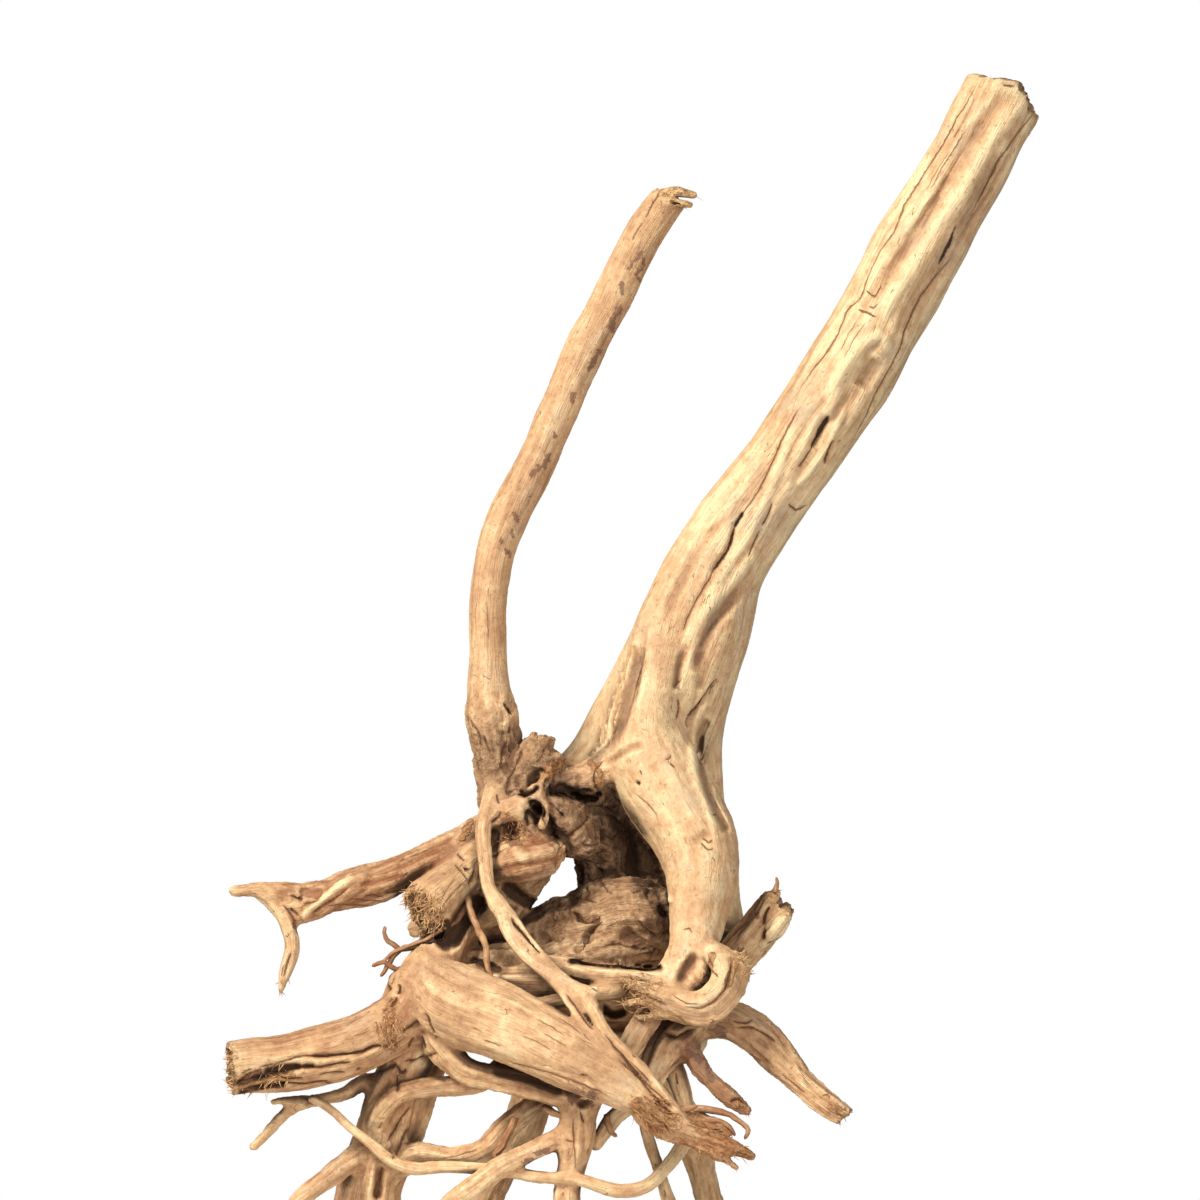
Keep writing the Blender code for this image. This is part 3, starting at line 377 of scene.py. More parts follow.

# Marks that the camera sees, placed along routes in the photograph, in pixels across and down.
# Each is its kind, half its width in pixels, its depth in mm or its strength, half the width of its dark
# line in pixels, and its route. A hollow or a pit sinks, a ridge stands up, a step drops to its right, and
# a crack is a narrow cut. A stain or a fray only colours the wood. A dark place only paints shade, a pit
# is painted with shade as well, and a dark line is painted shade in a crack or along a step.
MARKS = {
    # dark places and pits: painted shade in the recesses between roots
    "recesses": [
        ("dark", 22, 1, 0, [(620, 822), (635, 850), (645, 885)]),
        ("dark", 12, 1, 0, [(612, 797), (630, 817), (640, 834)]),
        ("dark", 10, 1, 0, [(642, 842), (650, 860), (655, 884)]),
        ("dark", 32, 0.45, 0, [(572, 800), (596, 830), (604, 868)]),
        ("pit", 6, 5, 0, [(554, 793), (572, 796), (594, 799)]),
        ("dark", 8, 1, 0, [(578, 860), (582, 880), (574, 903)]),
        ("pit", 9, 6, 0, [(508, 888), (520, 897), (534, 906)]),
        ("pit", 13, 10, 0, [(475, 904), (462, 920), (452, 938)]),
        ("pit", 8, 6, 0, [(447, 925), (440, 938), (446, 946)]),
        ("pit", 6, 5, 0, [(474, 962), (488, 966), (498, 970)]),
        ("pit", 4, 6, 0, [(572, 962), (600, 965), (630, 967), (660, 969)]),
        ("pit", 8, 1.6, 0, [(694, 958), (686, 968), (680, 982)]),
        ("pit", 6, 5, 0, [(603, 1008), (612, 1014), (622, 1012)]),
        ("pit", 4, 4, 0, [(520, 794), (530, 792), (537, 788)]),
        ("pit", 4, 5, 0, [(531, 802), (540, 809), (545, 817)]),
        ("pit", 4, 4, 0, [(527, 812), (534, 815), (536, 822)]),
        ("pit", 7, 3.5, 0, [(238, 1082), (254, 1077), (270, 1073), (284, 1070)]),
        ("pit", 4, 2.8, 0, [(284, 1069), (298, 1067), (312, 1066)]),
        ("pit", 4, 3.5, 0, [(240, 1092), (262, 1087), (284, 1084)]),
        ("pit", 6, 2.4, 0, [(592, 1096), (582, 1104)]),
        ("dark", 9, 1, 0, [(500, 1072), (530, 1082), (556, 1092)]),
    ],
    "torn wood": [
        ("fray", 9, 1, 0, [(392, 1004), (388, 1022), (392, 1046)]),
        ("fray", 14, 1, 0, [(638, 1106), (654, 1114), (674, 1124)]),
        ("fray", 10, 1, 0, [(505, 818), (512, 830), (514, 842)]),
        ("fray", 5, 1, 0, [(590, 763), (600, 772), (597, 786)]),
        ("fray", 10, 0.8, 0, [(240, 1086), (262, 1081), (290, 1076)]),
        ("fray", 7, 1, 0, [(728, 984), (736, 960), (742, 952)]),
        ("fray", 5, 1, 0, [(712, 955), (708, 972), (703, 982)]),
        ("fray", 8, 1, 0, [(740, 1104), (746, 1102)]),
        ("fray", 8, 1, 0, [(832, 1108), (842, 1112)]),
        ("fray", 9, 1, 0, [(548, 776), (552, 766), (562, 764)]),
        ("fray", 6, 1, 0, [(462, 838), (466, 830), (470, 822)]),
        ("fray", 9, 1, 0, [(700, 1112), (720, 1116), (738, 1126)]),
    ],
    "main trunk": [
        ("dark", 4, 0.5, 0, [(938, 196), (930, 212), (922, 226)]),
        ("crack", 2, 0.6, 1.3, [(1003, 85), (1014, 87)]),
        ("hollow", 11, 2.6, 0, [(1012, 93), (985, 120), (960, 155), (942, 190), (922, 225), (903, 252),
            (884, 282), (866, 312)]),
        ("step", 9, 1.2, 0, [(962, 146), (945, 178), (925, 210), (906, 236)]),
        ("ridge", 10, 1.6, 0, [(1024, 100), (1000, 128), (980, 160), (962, 195), (940, 228), (918, 262),
            (896, 295), (882, 322)]),
        ("hollow", 13, 1.8, 0, [(1003, 150), (985, 190), (965, 228), (940, 265), (918, 300), (900, 335)]),
        ("crack", 3, 0.8, 0.9, [(1036, 110), (1020, 132), (1004, 155), (990, 183), (976, 212)]),
        ("crack", 3, 0.8, 0.8, [(958, 252), (940, 275), (920, 303), (906, 332), (899, 352), (886, 376),
            (876, 395), (866, 418), (852, 442)]),
        ("crack", 4, 2.0, 2.2, [(959, 225), (953, 243), (942, 266)]),
        ("crack", 3.5, 0.9, 0.8, [(980, 75), (972, 93), (958, 115), (946, 137), (930, 163), (917, 185),
            (903, 208), (893, 232), (880, 250), (868, 273), (860, 297), (848, 309), (838, 332), (828, 350),
            (815, 366), (800, 388), (788, 406)]),
        ("crack", 1.5, 0.3, 0.6, [(968, 127), (955, 147), (944, 165), (930, 190)]),
        ("crack", 1.5, 0.3, 0.5, [(950, 150), (937, 170), (925, 193)]),
        ("crack", 2, 0.6, 1.0, [(866, 290), (873, 296), (880, 284)]),
        ("crack", 2, 0.6, 1.2, [(858, 310), (866, 312), (876, 317)]),
        ("crack", 2, 0.5, 0.8, [(868, 306), (873, 308), (877, 303)]),
        ("crack", 1.5, 0.4, 0.5, [(858, 318), (848, 336), (840, 352)]),
        ("crack", 1.5, 0.4, 0.5, [(866, 322), (854, 340), (843, 360)]),
        ("crack", 4, 1.2, 1.0, [(799, 408), (789, 425), (779, 446), (770, 468), (760, 489), (749, 505),
            (739, 519)]),
        ("crack", 4, 2.8, 2.8, [(744, 512), (739, 519), (735, 527)]),
        ("crack", 4, 2.6, 2.0, [(736, 524), (731, 540), (726, 552), (719, 561), (712, 573)]),
        ("crack", 3, 1.0, 1.0, [(714, 570), (704, 588), (695, 603), (687, 620), (683, 631)]),
        ("hollow", 9, 1.6, 0, [(780, 443), (760, 475), (740, 505), (718, 525), (700, 545), (686, 572),
            (672, 600), (664, 625)]),
        ("ridge", 8, 1.5, 0, [(794, 430), (778, 470), (762, 508), (746, 540), (726, 572), (706, 600),
            (690, 625)]),
        ("ridge", 10, 2.6, 0, [(888, 354), (884, 341), (874, 337), (862, 345), (850, 360), (838, 380),
            (826, 402)]),
        ("hollow", 13, 3.0, 0, [(877, 358), (869, 372), (860, 388)]),
        ("hollow", 10, 1.8, 0, [(858, 384), (844, 406), (826, 432), (808, 458), (792, 484)]),
        ("crack", 8, 5.0, 4.0, [(829, 416), (820, 432), (812, 449)]),
        ("crack", 3, 1.0, 1.0, [(812, 449), (806, 458), (799, 468)]),
        ("ridge", 5, 1.4, 0, [(846, 408), (836, 428), (826, 448), (812, 468), (798, 486)]),
        ("crack", 4, 1.5, 1.5, [(834, 440), (828, 452), (825, 464)]),
        ("crack", 5, 1.3, 1.2, [(789, 504), (797, 511), (808, 505)]),
        ("crack", 4, 1.0, 1.0, [(772, 503), (768, 515), (762, 526)]),
        ("crack", 3, 0.8, 0.8, [(760, 530), (753, 546), (747, 558)]),
        ("ridge", 9, 1.8, 0, [(756, 548), (738, 574), (716, 600), (698, 622), (684, 646)]),
        ("hollow", 9, 2.6, 0, [(744, 584), (728, 606), (712, 624), (702, 648), (694, 672)]),
        ("dark", 6, 0.62, 0, [(718, 620), (709, 632), (702, 644)]),
        ("hollow", 6, 1.8, 0, [(684, 650), (679, 668), (676, 690)]),
        ("dark", 5, 0.62, 0, [(681, 664), (677, 686)]),
        ("crack", 3, 0.8, 0.9, [(678, 698), (679, 708), (677, 720)]),
        ("hollow", 10, 1.2, 0, [(700, 652), (704, 672), (700, 690)]),
        ("step", 8, 3.0, 1.2, [(718, 678), (706, 696), (694, 711), (688, 722), (690, 728)]),
        ("pit", 6, 3.6, 0, [(706, 723), (700, 735), (699, 750), (702, 770), (708, 790), (716, 811),
            (725, 828)]),
        ("dark", 9, 0.40, 0, [(707, 728), (705, 750), (708, 775), (717, 800)]),
        ("dark", 15, 0.32, 0, [(722, 600), (710, 640), (706, 690)]),
        ("dark", 12, 0.28, 0, [(738, 500), (728, 540), (720, 580)]),
        ("ridge", 7, 1.2, 0, [(694, 735), (692, 760), (697, 785), (706, 808), (717, 830)]),
        ("hollow", 16, 3.6, 0, [(638, 645), (630, 680), (620, 712), (603, 748)]),
        ("dark", 18, 0.50, 0, [(632, 660), (618, 704), (602, 745)]),
        ("dark", 8, 0.45, 0, [(636, 690), (624, 716), (616, 738)]),
        ("dark", 13, 0.66, 0, [(616, 720), (604, 742), (594, 756)]),
        ("hollow", 6, 1.5, 0, [(645, 625), (640, 655), (634, 690)]),
        ("crack", 1.5, 0.3, 0.5, [(638, 655), (633, 680), (629, 705)]),
        ("crack", 1.5, 0.3, 0.5, [(642, 648), (638, 676), (634, 700)]),
        ("crack", 3, 2.5, 2.2, [(636.5, 781.5), (639.5, 784.5)]),
        ("crack", 2, 0.6, 1.2, [(670, 763), (674, 767)]),
        ("crack", 3, 0.8, 0.7, [(665, 759), (670, 758), (671, 754)]),
        ("crack", 2, 0.6, 0.7, [(640, 770), (642, 776)]),
        ("crack", 4, 1.4, 1.0, [(603, 761), (595, 768), (594, 780), (597, 792)]),
        ("hollow", 6, 1.5, 0, [(645, 744), (625, 751), (606, 764)]),
        ("hollow", 8, 1.2, 0, [(710, 832), (700, 838), (692, 842)]),
        ("crack", 3, 0.7, 0.8, [(701, 842), (708, 850), (714, 848)]),
        ("crack", 3, 0.7, 0.7, [(703, 837), (709, 843), (713, 840)]),
        ("crack", 2, 0.4, 0.5, [(634, 793), (648, 805), (658, 819)]),
        ("crack", 2, 0.4, 0.6, [(683, 930), (690, 928), (692, 933)]),
        ("ridge", 7, 2.0, 0, [(663, 892), (669, 904)]),
        ("crack", 2, 0.5, 0.6, [(712, 816), (717, 814)]),
    ],
    "side branch": [
        ("crack", 2, 0.6, 0.8, [(660, 190), (652, 205), (645, 218)]),
        ("crack", 1.5, 0.4, 0.6, [(643, 222), (637, 232), (632, 241)]),
        ("crack", 5, 2.5, 2.5, [(672, 203), (680, 206)]),
        ("stain", 4, 0.8, 0, [(642, 252), (635, 262), (630, 269)]),
        ("stain", 3, 0.8, 0, [(640, 252), (644, 266), (636, 274), (642, 282)]),
        ("stain", 4, 1, 0, [(621, 283), (622, 293)]),
        ("stain", 5, 0.9, 0, [(621, 308), (614, 317), (610, 327)]),
        ("stain", 4, 1, 0, [(612, 320), (613, 331)]),
        ("stain", 5, 0.8, 0, [(599, 353), (594, 361), (589, 369)]),
        ("stain", 4, 1, 0, [(573, 394), (572, 401)]),
        ("stain", 3, 1, 0, [(555, 435), (556, 438)]),
        ("stain", 5, 1, 0, [(548, 455), (544, 466)]),
        ("stain", 5, 1, 0, [(540, 467), (532, 475)]),
        ("stain", 4, 1, 0, [(515, 514), (518, 522)]),
        ("stain", 3, 1, 0, [(512, 533), (513, 537)]),
        ("stain", 3, 1, 0, [(501, 539), (502, 543)]),
        ("stain", 4, 1, 0, [(506, 550), (510, 554)]),
        ("crack", 2, 0.3, 0.4, [(487, 600), (488, 622), (489, 640)]),
        ("crack", 5, 3.2, 2.4, [(505, 702), (509, 707), (513, 714)]),
        ("ridge", 7, 1.6, 0, [(503, 721), (504, 731)]),
        ("crack", 3, 1.0, 1.4, [(510, 727), (509, 733)]),
        ("step", 5, 1.4, 0.9, [(467, 716), (470, 724), (477, 733), (480, 742), (481, 749)]),
        ("crack", 4, 1.4, 1.0, [(508, 740), (503, 752), (501, 763), (497, 773)]),
        ("crack", 4, 1.6, 1.2, [(522, 747), (518, 760), (511, 773), (508, 784), (506, 793)]),
        ("crack", 2, 0.8, 0.8, [(484, 736), (487, 745), (491, 754)]),
        ("hollow", 6, 1.5, 0, [(512, 745), (508, 762), (503, 775)]),
    ],
    "knuckle": [
        ("crack", 3, 1.0, 0.8, [(546, 746), (542, 757), (535, 765)]),
        ("crack", 4, 1.6, 1.0, [(533, 775), (543, 770), (554, 773)]),
        ("crack", 6, 3.0, 2.4, [(521, 794), (530, 793), (536, 787)]),
        ("crack", 4, 1.5, 1.5, [(507, 794), (513, 790)]),
        ("crack", 6, 5.0, 3.6, [(549, 779), (549, 788), (554, 793)]),
        ("crack", 5, 3.0, 2.2, [(554, 792), (560, 785), (566, 789)]),
        ("crack", 5, 4.0, 2.6, [(531, 802), (540, 808), (547, 819), (551, 827)]),
        ("crack", 5, 3.0, 2.2, [(527, 826), (529, 815), (533, 811), (541, 818)]),
        ("crack", 3, 1.2, 1.4, [(496, 794), (499, 803)]),
        ("crack", 4, 1.6, 1.5, [(500, 811), (497, 818), (492, 823)]),
        ("hollow", 13, 4.5, 0, [(507, 824), (511, 840)]),
        ("stain", 11, 1, 0, [(507, 826), (512, 840)]),
        ("crack", 3, 1.2, 1.5, [(493, 857), (498, 852)]),
        ("crack", 4, 1.4, 1.0, [(587, 800), (589, 811), (586, 821), (577, 829), (568, 836)]),
        ("crack", 5, 2.5, 2.2, [(557, 809), (564, 818)]),
        ("crack", 3, 1.4, 1.4, [(550, 802), (556, 808)]),
        ("crack", 3, 1.2, 1.2, [(560, 834), (568, 832)]),
        ("crack", 5, 2.6, 2.0, [(603, 795), (588, 793), (576, 794), (564, 788)]),
        ("crack", 3, 1.2, 0.9, [(552, 826), (556, 838), (562, 846)]),
        ("step", 6, 2.0, 0.8, [(566, 842), (560, 850), (558, 862), (556, 869)]),
        ("ridge", 9, 1.4, 0, [(500, 846), (515, 850), (528, 862)]),
    ],
    "core": [
        ("crack", 7, 3.0, 1.4, [(602, 921), (592, 932), (584, 944), (578, 954)]),
        ("crack", 6, 2.8, 1.6, [(570, 912), (580, 919), (592, 921), (600, 916)]),
        ("crack", 3, 1.0, 0.8, [(600, 880), (606, 888), (613, 894)]),
        ("crack", 3, 1.2, 1.1, [(633, 892), (641, 890)]),
        ("crack", 4, 1.8, 1.0, [(650, 901), (647, 893), (653, 887), (660, 890)]),
        ("crack", 5, 3.5, 2.2, [(660, 903), (663, 912), (668, 917)]),
        ("crack", 3, 1.0, 0.8, [(637, 921), (646, 929), (656, 935)]),
        ("crack", 2, 0.8, 0.6, [(580, 842), (590, 847), (601, 843), (613, 847)]),
        ("crack", 2, 0.8, 0.6, [(583, 851), (594, 855), (606, 851), (614, 856)]),
        ("crack", 2, 0.8, 0.6, [(586, 860), (597, 864), (609, 860)]),
        ("crack", 3, 1.2, 0.9, [(594, 864), (601, 873), (598, 882)]),
        ("crack", 3, 1.2, 0.9, [(612, 840), (618, 834), (621, 828)]),
        ("hollow", 9, 2.5, 0, [(596, 834), (606, 836)]),
        ("hollow", 10, 2.2, 0, [(620, 930), (640, 945), (660, 950)]),
        ("crack", 3, 1.2, 0.8, [(600, 948), (620, 944), (645, 952), (664, 950)]),
        ("ridge", 7, 1.8, 0, [(560, 905), (578, 893), (594, 884)]),
        ("crack", 3, 1.2, 0.9, [(570, 900), (584, 898), (596, 903)]),
        ("crack", 4, 2.5, 1.6, [(578, 962), (600, 963), (630, 966), (655, 968)]),
    ],
    "left roots": [
        ("crack", 5, 2.5, 1.8, [(291, 896), (303, 900)]),
        ("crack", 4, 2.0, 1.2, [(305, 904), (313, 902), (319, 898)]),
        ("hollow", 8, 2.4, 0, [(299, 892), (322, 893)]),
        ("crack", 4, 1.6, 1.4, [(289, 908), (298, 916)]),
        ("ridge", 6, 2.0, 0, [(354, 875), (341, 885), (326, 897), (311, 908), (302, 919)]),
        ("crack", 3, 1.2, 0.8, [(347, 889), (334, 899), (323, 905), (311, 914)]),
        ("crack", 3, 1.0, 1.0, [(384, 893), (400, 890), (416, 884)]),
        ("crack", 2, 0.7, 0.7, [(364, 896), (384, 896)]),
        ("crack", 2, 0.7, 0.9, [(404, 877), (408, 872)]),
        ("crack", 2, 0.5, 0.5, [(326, 906), (350, 905), (380, 907)]),
        ("crack", 2, 0.5, 0.5, [(350, 899), (372, 901), (398, 903)]),
        ("hollow", 6, 1.4, 0, [(360, 884), (385, 880), (405, 876)]),
        ("crack", 2, 0.8, 1.0, [(294, 922), (295, 930)]),
        ("crack", 3, 1.0, 1.2, [(291, 953), (287, 965), (284, 977)]),
        ("crack", 2, 0.6, 0.8, [(283, 966), (281, 976)]),
        ("crack", 2, 0.6, 0.9, [(265, 913), (270, 914)]),
        ("step", 4, 1.4, 0.8, [(283, 905), (290, 914), (296, 924), (298, 935)]),
        ("crack", 2, 0.8, 0.7, [(455, 864), (463, 873), (469, 881)]),
        ("crack", 2, 0.8, 0.7, [(478, 863), (473, 874), (469, 884)]),
        ("crack", 4, 1.6, 1.8, [(464, 868), (470, 869)]),
        ("crack", 2, 0.5, 0.5, [(463, 882), (451, 896), (441, 909), (435, 918)]),
        ("crack", 2, 0.5, 0.5, [(456, 878), (447, 891), (439, 904)]),
        ("crack", 3, 1.4, 1.2, [(457, 853), (465, 860)]),
        ("crack", 4, 3.0, 1.7, [(303, 1056), (325, 1056), (345, 1054), (360, 1053), (366, 1050),
            (373, 1047), (384, 1047), (391, 1049)]),
        ("crack", 3, 1.6, 1.0, [(258, 1068), (280, 1062), (296, 1057), (306, 1056)]),
        ("hollow", 8, 3.6, 0, [(264, 1072), (283, 1068), (301, 1067)]),
        ("crack", 3, 2.0, 1.4, [(303, 1066), (315, 1068), (332, 1065), (351, 1062)]),
        ("crack", 3, 2.0, 1.4, [(248, 1079), (270, 1077), (290, 1079), (303, 1078)]),
        ("crack", 3, 2.0, 1.4, [(238, 1091), (262, 1086), (285, 1084), (305, 1085), (322, 1083),
            (341, 1084)]),
        ("crack", 3, 1.2, 1.0, [(318, 1076), (331, 1073), (345, 1073)]),
        ("crack", 2, 1.0, 1.4, [(357, 1069), (361, 1069)]),
        ("crack", 3, 1.2, 1.0, [(362, 1077), (378, 1071), (395, 1067)]),
        ("crack", 3, 1.5, 1.2, [(236, 1084), (248, 1075), (262, 1069)]),
        ("crack", 2, 1.0, 0.9, [(242, 1074), (252, 1068)]),
        ("stain", 6, 1, 0, [(256, 1076), (272, 1070), (288, 1067)]),
        ("crack", 5, 2.0, 1.5, [(403, 1033), (411, 1027), (419, 1022)]),
        ("crack", 4, 2.0, 1.2, [(424, 1013), (430, 1027), (436, 1040)]),
        ("crack", 3, 1.2, 0.9, [(414, 1038), (409, 1048)]),
        ("crack", 3, 1.2, 0.9, [(421, 1036), (425, 1049)]),
        ("crack", 4, 1.4, 1.0, [(404, 1062), (420, 1058), (438, 1053)]),
        ("crack", 4, 1.6, 1.6, [(385, 1068), (394, 1065), (402, 1073), (406, 1069)]),
        ("crack", 4, 2.2, 1.6, [(385, 983), (390, 991)]),
        ("crack", 4, 2.2, 1.8, [(398, 984), (399, 994)]),
        ("crack", 4, 2.2, 1.6, [(390, 1007), (397, 997)]),
    ],
    "front roots": [
        ("crack", 2, 0.6, 0.8, [(484, 1041), (493, 1043), (501, 1047)]),
        ("crack", 3, 1.6, 1.3, [(604, 1034), (620, 1054), (638, 1075), (656, 1098), (672, 1116)]),
        ("crack", 3, 1.4, 1.1, [(566, 994), (580, 1012), (594, 1030)]),
        ("crack", 3, 0.8, 1.0, [(581, 1074), (588, 1077)]),
        ("ridge", 4, 0.8, 0, [(585, 1080), (595, 1089)]),
        ("crack", 3, 0.8, 0.7, [(500, 1060), (530, 1068), (560, 1077), (590, 1088), (612, 1099)]),
        ("crack", 4, 2.2, 1.8, [(639, 1109), (650, 1115), (659, 1122), (669, 1132)]),
        ("crack", 4, 2.0, 1.4, [(655, 1103), (664, 1107), (672, 1114)]),
        ("step", 7, 2.0, 0.6, [(618, 1058), (638, 1075), (658, 1094), (674, 1110)]),
        ("crack", 1.5, 0.3, 0.5, [(535, 1018), (550, 1026), (566, 1036)]),
        ("crack", 1.5, 0.3, 0.5, [(542, 1032), (556, 1040), (568, 1048)]),
        ("crack", 1.5, 0.3, 0.5, [(520, 1035), (536, 1042), (552, 1051)]),
        ("crack", 1.5, 0.3, 0.5, [(556, 1016), (572, 1026), (584, 1036)]),
        ("crack", 4, 3.2, 2.4, [(511, 918), (520, 931), (530, 942), (540, 953)]),
        ("crack", 2, 0.6, 0.8, [(633, 1055), (636, 1057)]),
        ("crack", 2, 0.8, 0.8, [(592, 988), (598, 992)]),
        ("crack", 2, 0.6, 0.7, [(630, 1061), (642, 1073), (650, 1083)]),
    ],
    "right roots": [
        ("crack", 3, 2.0, 1.8, [(763, 925), (766, 914), (770, 907)]),
        ("crack", 3, 2.0, 1.8, [(762, 939), (764, 929)]),
        ("ridge", 4, 1.8, 0, [(766, 937), (776, 927), (787, 917)]),
        ("crack", 3, 0.8, 0.8, [(765, 945), (776, 941), (786, 934)]),
        ("crack", 2, 0.8, 0.8, [(762, 958), (767, 950)]),
        ("stain", 4, 1, 0, [(757, 915), (757, 917)]),
        ("crack", 3, 1.0, 1.0, [(733, 1021), (744, 1023), (753, 1019)]),
        ("crack", 3, 1.2, 1.0, [(736, 1028), (754, 1028), (769, 1036), (776, 1042)]),
        ("stain", 9, 1, 0, [(714, 1026), (722, 1034)]),
        ("crack", 2, 0.5, 0.6, [(780, 1073), (795, 1085), (806, 1093)]),
        ("crack", 2, 0.6, 0.7, [(822, 1097), (828, 1094), (830, 1099)]),
        ("stain", 5, 1, 0, [(707, 1069), (712, 1080)]),
        ("stain", 6, 1, 0, [(688, 1052), (700, 1060)]),
        ("crack", 3, 1.4, 1.4, [(730, 1102), (738, 1099), (745, 1103)]),
        ("crack", 5, 2.5, 1.6, [(664, 1032), (675, 1036), (687, 1033), (694, 1028)]),
        ("crack", 3, 1.0, 0.8, [(704, 979), (712, 972), (719, 977)]),
        ("crack", 3, 1.2, 0.9, [(731, 955), (732, 968), (727, 985), (718, 998), (702, 1008), (684, 1007)]),
        ("crack", 2, 0.8, 0.7, [(708, 958), (712, 968)]),
        ("hollow", 9, 2.6, 0, [(697, 955), (688, 967), (680, 982)]),
        ("crack", 2, 0.7, 0.6, [(672, 995), (686, 1003), (700, 1004)]),
        ("crack", 3, 1.0, 1.2, [(676, 1073), (677, 1085)]),
    ],
    "legs": [
        ("crack", 4, 1.6, 1.2, [(397, 1074), (397, 1092)]),
        ("crack", 3, 1.2, 1.0, [(384, 1166), (380, 1182), (377, 1200)]),
        ("crack", 3, 1.2, 0.9, [(412, 1106), (400, 1121), (388, 1142)]),
        ("crack", 4, 1.4, 1.0, [(409, 1128), (401, 1145), (392, 1160)]),
        ("crack", 2, 0.6, 0.7, [(383, 1122), (378, 1130)]),
        ("hollow", 7, 1.8, 0, [(380, 1165), (378, 1200)]),
        ("stain", 12, 1, 0, [(574, 1097), (590, 1100)]),
        ("crack", 3, 1.2, 1.4, [(580, 1112), (584, 1122)]),
        ("crack", 2, 0.6, 0.6, [(573, 1115), (574, 1140), (576, 1170)]),
        ("stain", 4, 1, 0, [(523, 1163), (532, 1159)]),
        ("stain", 4, 1, 0, [(536, 1153), (547, 1150)]),
        ("crack", 2, 0.8, 0.9, [(565, 1140), (574, 1142)]),
        ("crack", 2, 0.6, 0.6, [(440, 1160), (458, 1155), (478, 1150)]),
        ("crack", 2, 0.6, 0.8, [(655, 1164), (659, 1167)]),
        ("crack", 2, 0.8, 1.0, [(664, 1190), (665, 1197)]),
    ],
}


class Block:
    """Signed distances on a block of cells."""

    def __init__(self, low, high, cell):
        self.low = np.array(low)
        self.cell = cell
        self.shape = np.ceil((np.array(high) - self.low) / cell).astype(int) + 1
        self.value = np.full(self.shape, FAR, np.float32)

    def window(self, low, high, inside=None):
        """First and one-past-last cell round a box, kept inside another window."""
        least, most = inside or (np.zeros(3, int), self.shape)
        first = np.clip(np.floor((low - self.low) / self.cell).astype(int), least, most)
        last = np.clip(np.ceil((high - self.low) / self.cell).astype(int) + 1, first, most)
        return first, last

    def places(self, first, last):
        """The cells' x, y and z in a window, ready to broadcast."""
        x, y, z = [(self.low[i] + self.cell * np.arange(first[i], last[i])).astype(np.float32)
                   for i in range(3)]
        return x[:, None, None], y[None, :, None], z[None, None, :]

    def part(self, first, last):
        """The distances in a window."""
        return self.value[first[0]:last[0], first[1]:last[1], first[2]:last[2]]


def smooth_path(points, step):
    """The given points as one smooth path, with a point about every step."""
    knots = np.array(points, float)
    before_first = 2 * knots[0] - knots[1]
    after_last = 2 * knots[-1] - knots[-2]
    before_first[3:] = knots[0, 3:]
    after_last[3:] = knots[-1, 3:]
    knots = np.vstack([before_first, knots, after_last])
    rows = []
    for i in range(1, len(knots) - 2):
        before, start, stop, after = knots[i - 1:i + 3]
        count = max(2, int(round(np.linalg.norm((stop - start)[:3]) / step)))
        t = np.arange(count)[:, None] / count
        rows.append(0.5 * (2 * start + (stop - before) * t
                           + (2 * before - 5 * start + 4 * stop - after) * t ** 2
                           + (3 * start - before - 3 * stop + after) * t ** 3))
    rows.append(knots[-2:-1])
    return np.vstack(rows)


def path_box(path, reach):
    """The lowest and the highest corner of a box that holds a tube and its surroundings."""
    return (path[:, :3] - path[:, 3:]).min(0) - reach, (path[:, :3] + path[:, 3:]).max(0) + reach


def tube_distance(block, path, reach):
    """The window round a tapered tube, and the distance to the tube in it."""
    window = block.window(*path_box(path, reach))
    first = window[0]
    distance = np.full(window[1] - first, FAR, np.float32)
    for start, stop in zip(path[:-1], path[1:]):
        wide = max(start[3], stop[3]) + reach
        near = block.window(np.minimum(start, stop)[:3] - wide, np.maximum(start, stop)[:3] + wide, window)
        x, y, z = block.places(*near)
        x = x - np.float32(start[0])
        y = y - np.float32(start[1])
        z = z - np.float32(start[2])
        run = (stop - start)[:3]
        length = max(run @ run, 1e-6)
        p, q, r = (run / length).astype(np.float32)
        along = np.clip(x * p + y * q + z * r, 0, 1)
        p, q, r = run.astype(np.float32)
        gap = np.sqrt((x - along * p) ** 2 + (y - along * q) ** 2 + (z - along * r) ** 2)
        gap -= np.float32(start[3]) + along * np.float32(stop[3] - start[3])
        low, high = near[0] - first, near[1] - first
        part = distance[low[0]:high[0], low[1]:high[1], low[2]:high[2]]
        np.minimum(part, gap, out=part)
    return window, distance


def join(block, path, fillet, reach=None):
    """Adds a tube to the wood, with a fillet where it meets the rest."""
    window, distance = tube_distance(block, path, (reach or fillet) + 3 * block.cell)
    part = block.part(*window)
    overlap = np.maximum(fillet - np.abs(part - distance), 0)
    np.minimum(part, distance, out=part)
    part -= overlap ** 2 * np.float32(0.25 / fillet)


GRADIENTS = np.random.default_rng(7).normal(size=(256, 3))
GRADIENTS /= np.linalg.norm(GRADIENTS, axis=1)[:, None]


def noise(points, seed=0):
    """Smooth gradient noise, about -1 to 1, one value to a point."""
    cell = np.floor(points).astype(np.int64)
    part = points - cell
    fade = part ** 3 * (part * (part * 6 - 15) + 10)
    total = np.zeros(len(points))
    for i in (0, 1):
        for j in (0, 1):
            for k in (0, 1):
                x, y, z = (cell + (i, j, k)).T
                mixed = (x * 73856093) ^ (y * 19349663) ^ (z * 83492791) ^ (seed * 2654435761)
                mixed ^= mixed >> 13
                mixed *= 1274126177
                gradient = GRADIENTS[(mixed ^ mixed >> 16) & 255]
                share = np.abs(1 - i - fade[:, 0]) * np.abs(1 - j - fade[:, 1]) * np.abs(1 - k - fade[:, 2])
                total += share * ((part - (i, j, k)) * gradient).sum(1)
    return 1.6 * total


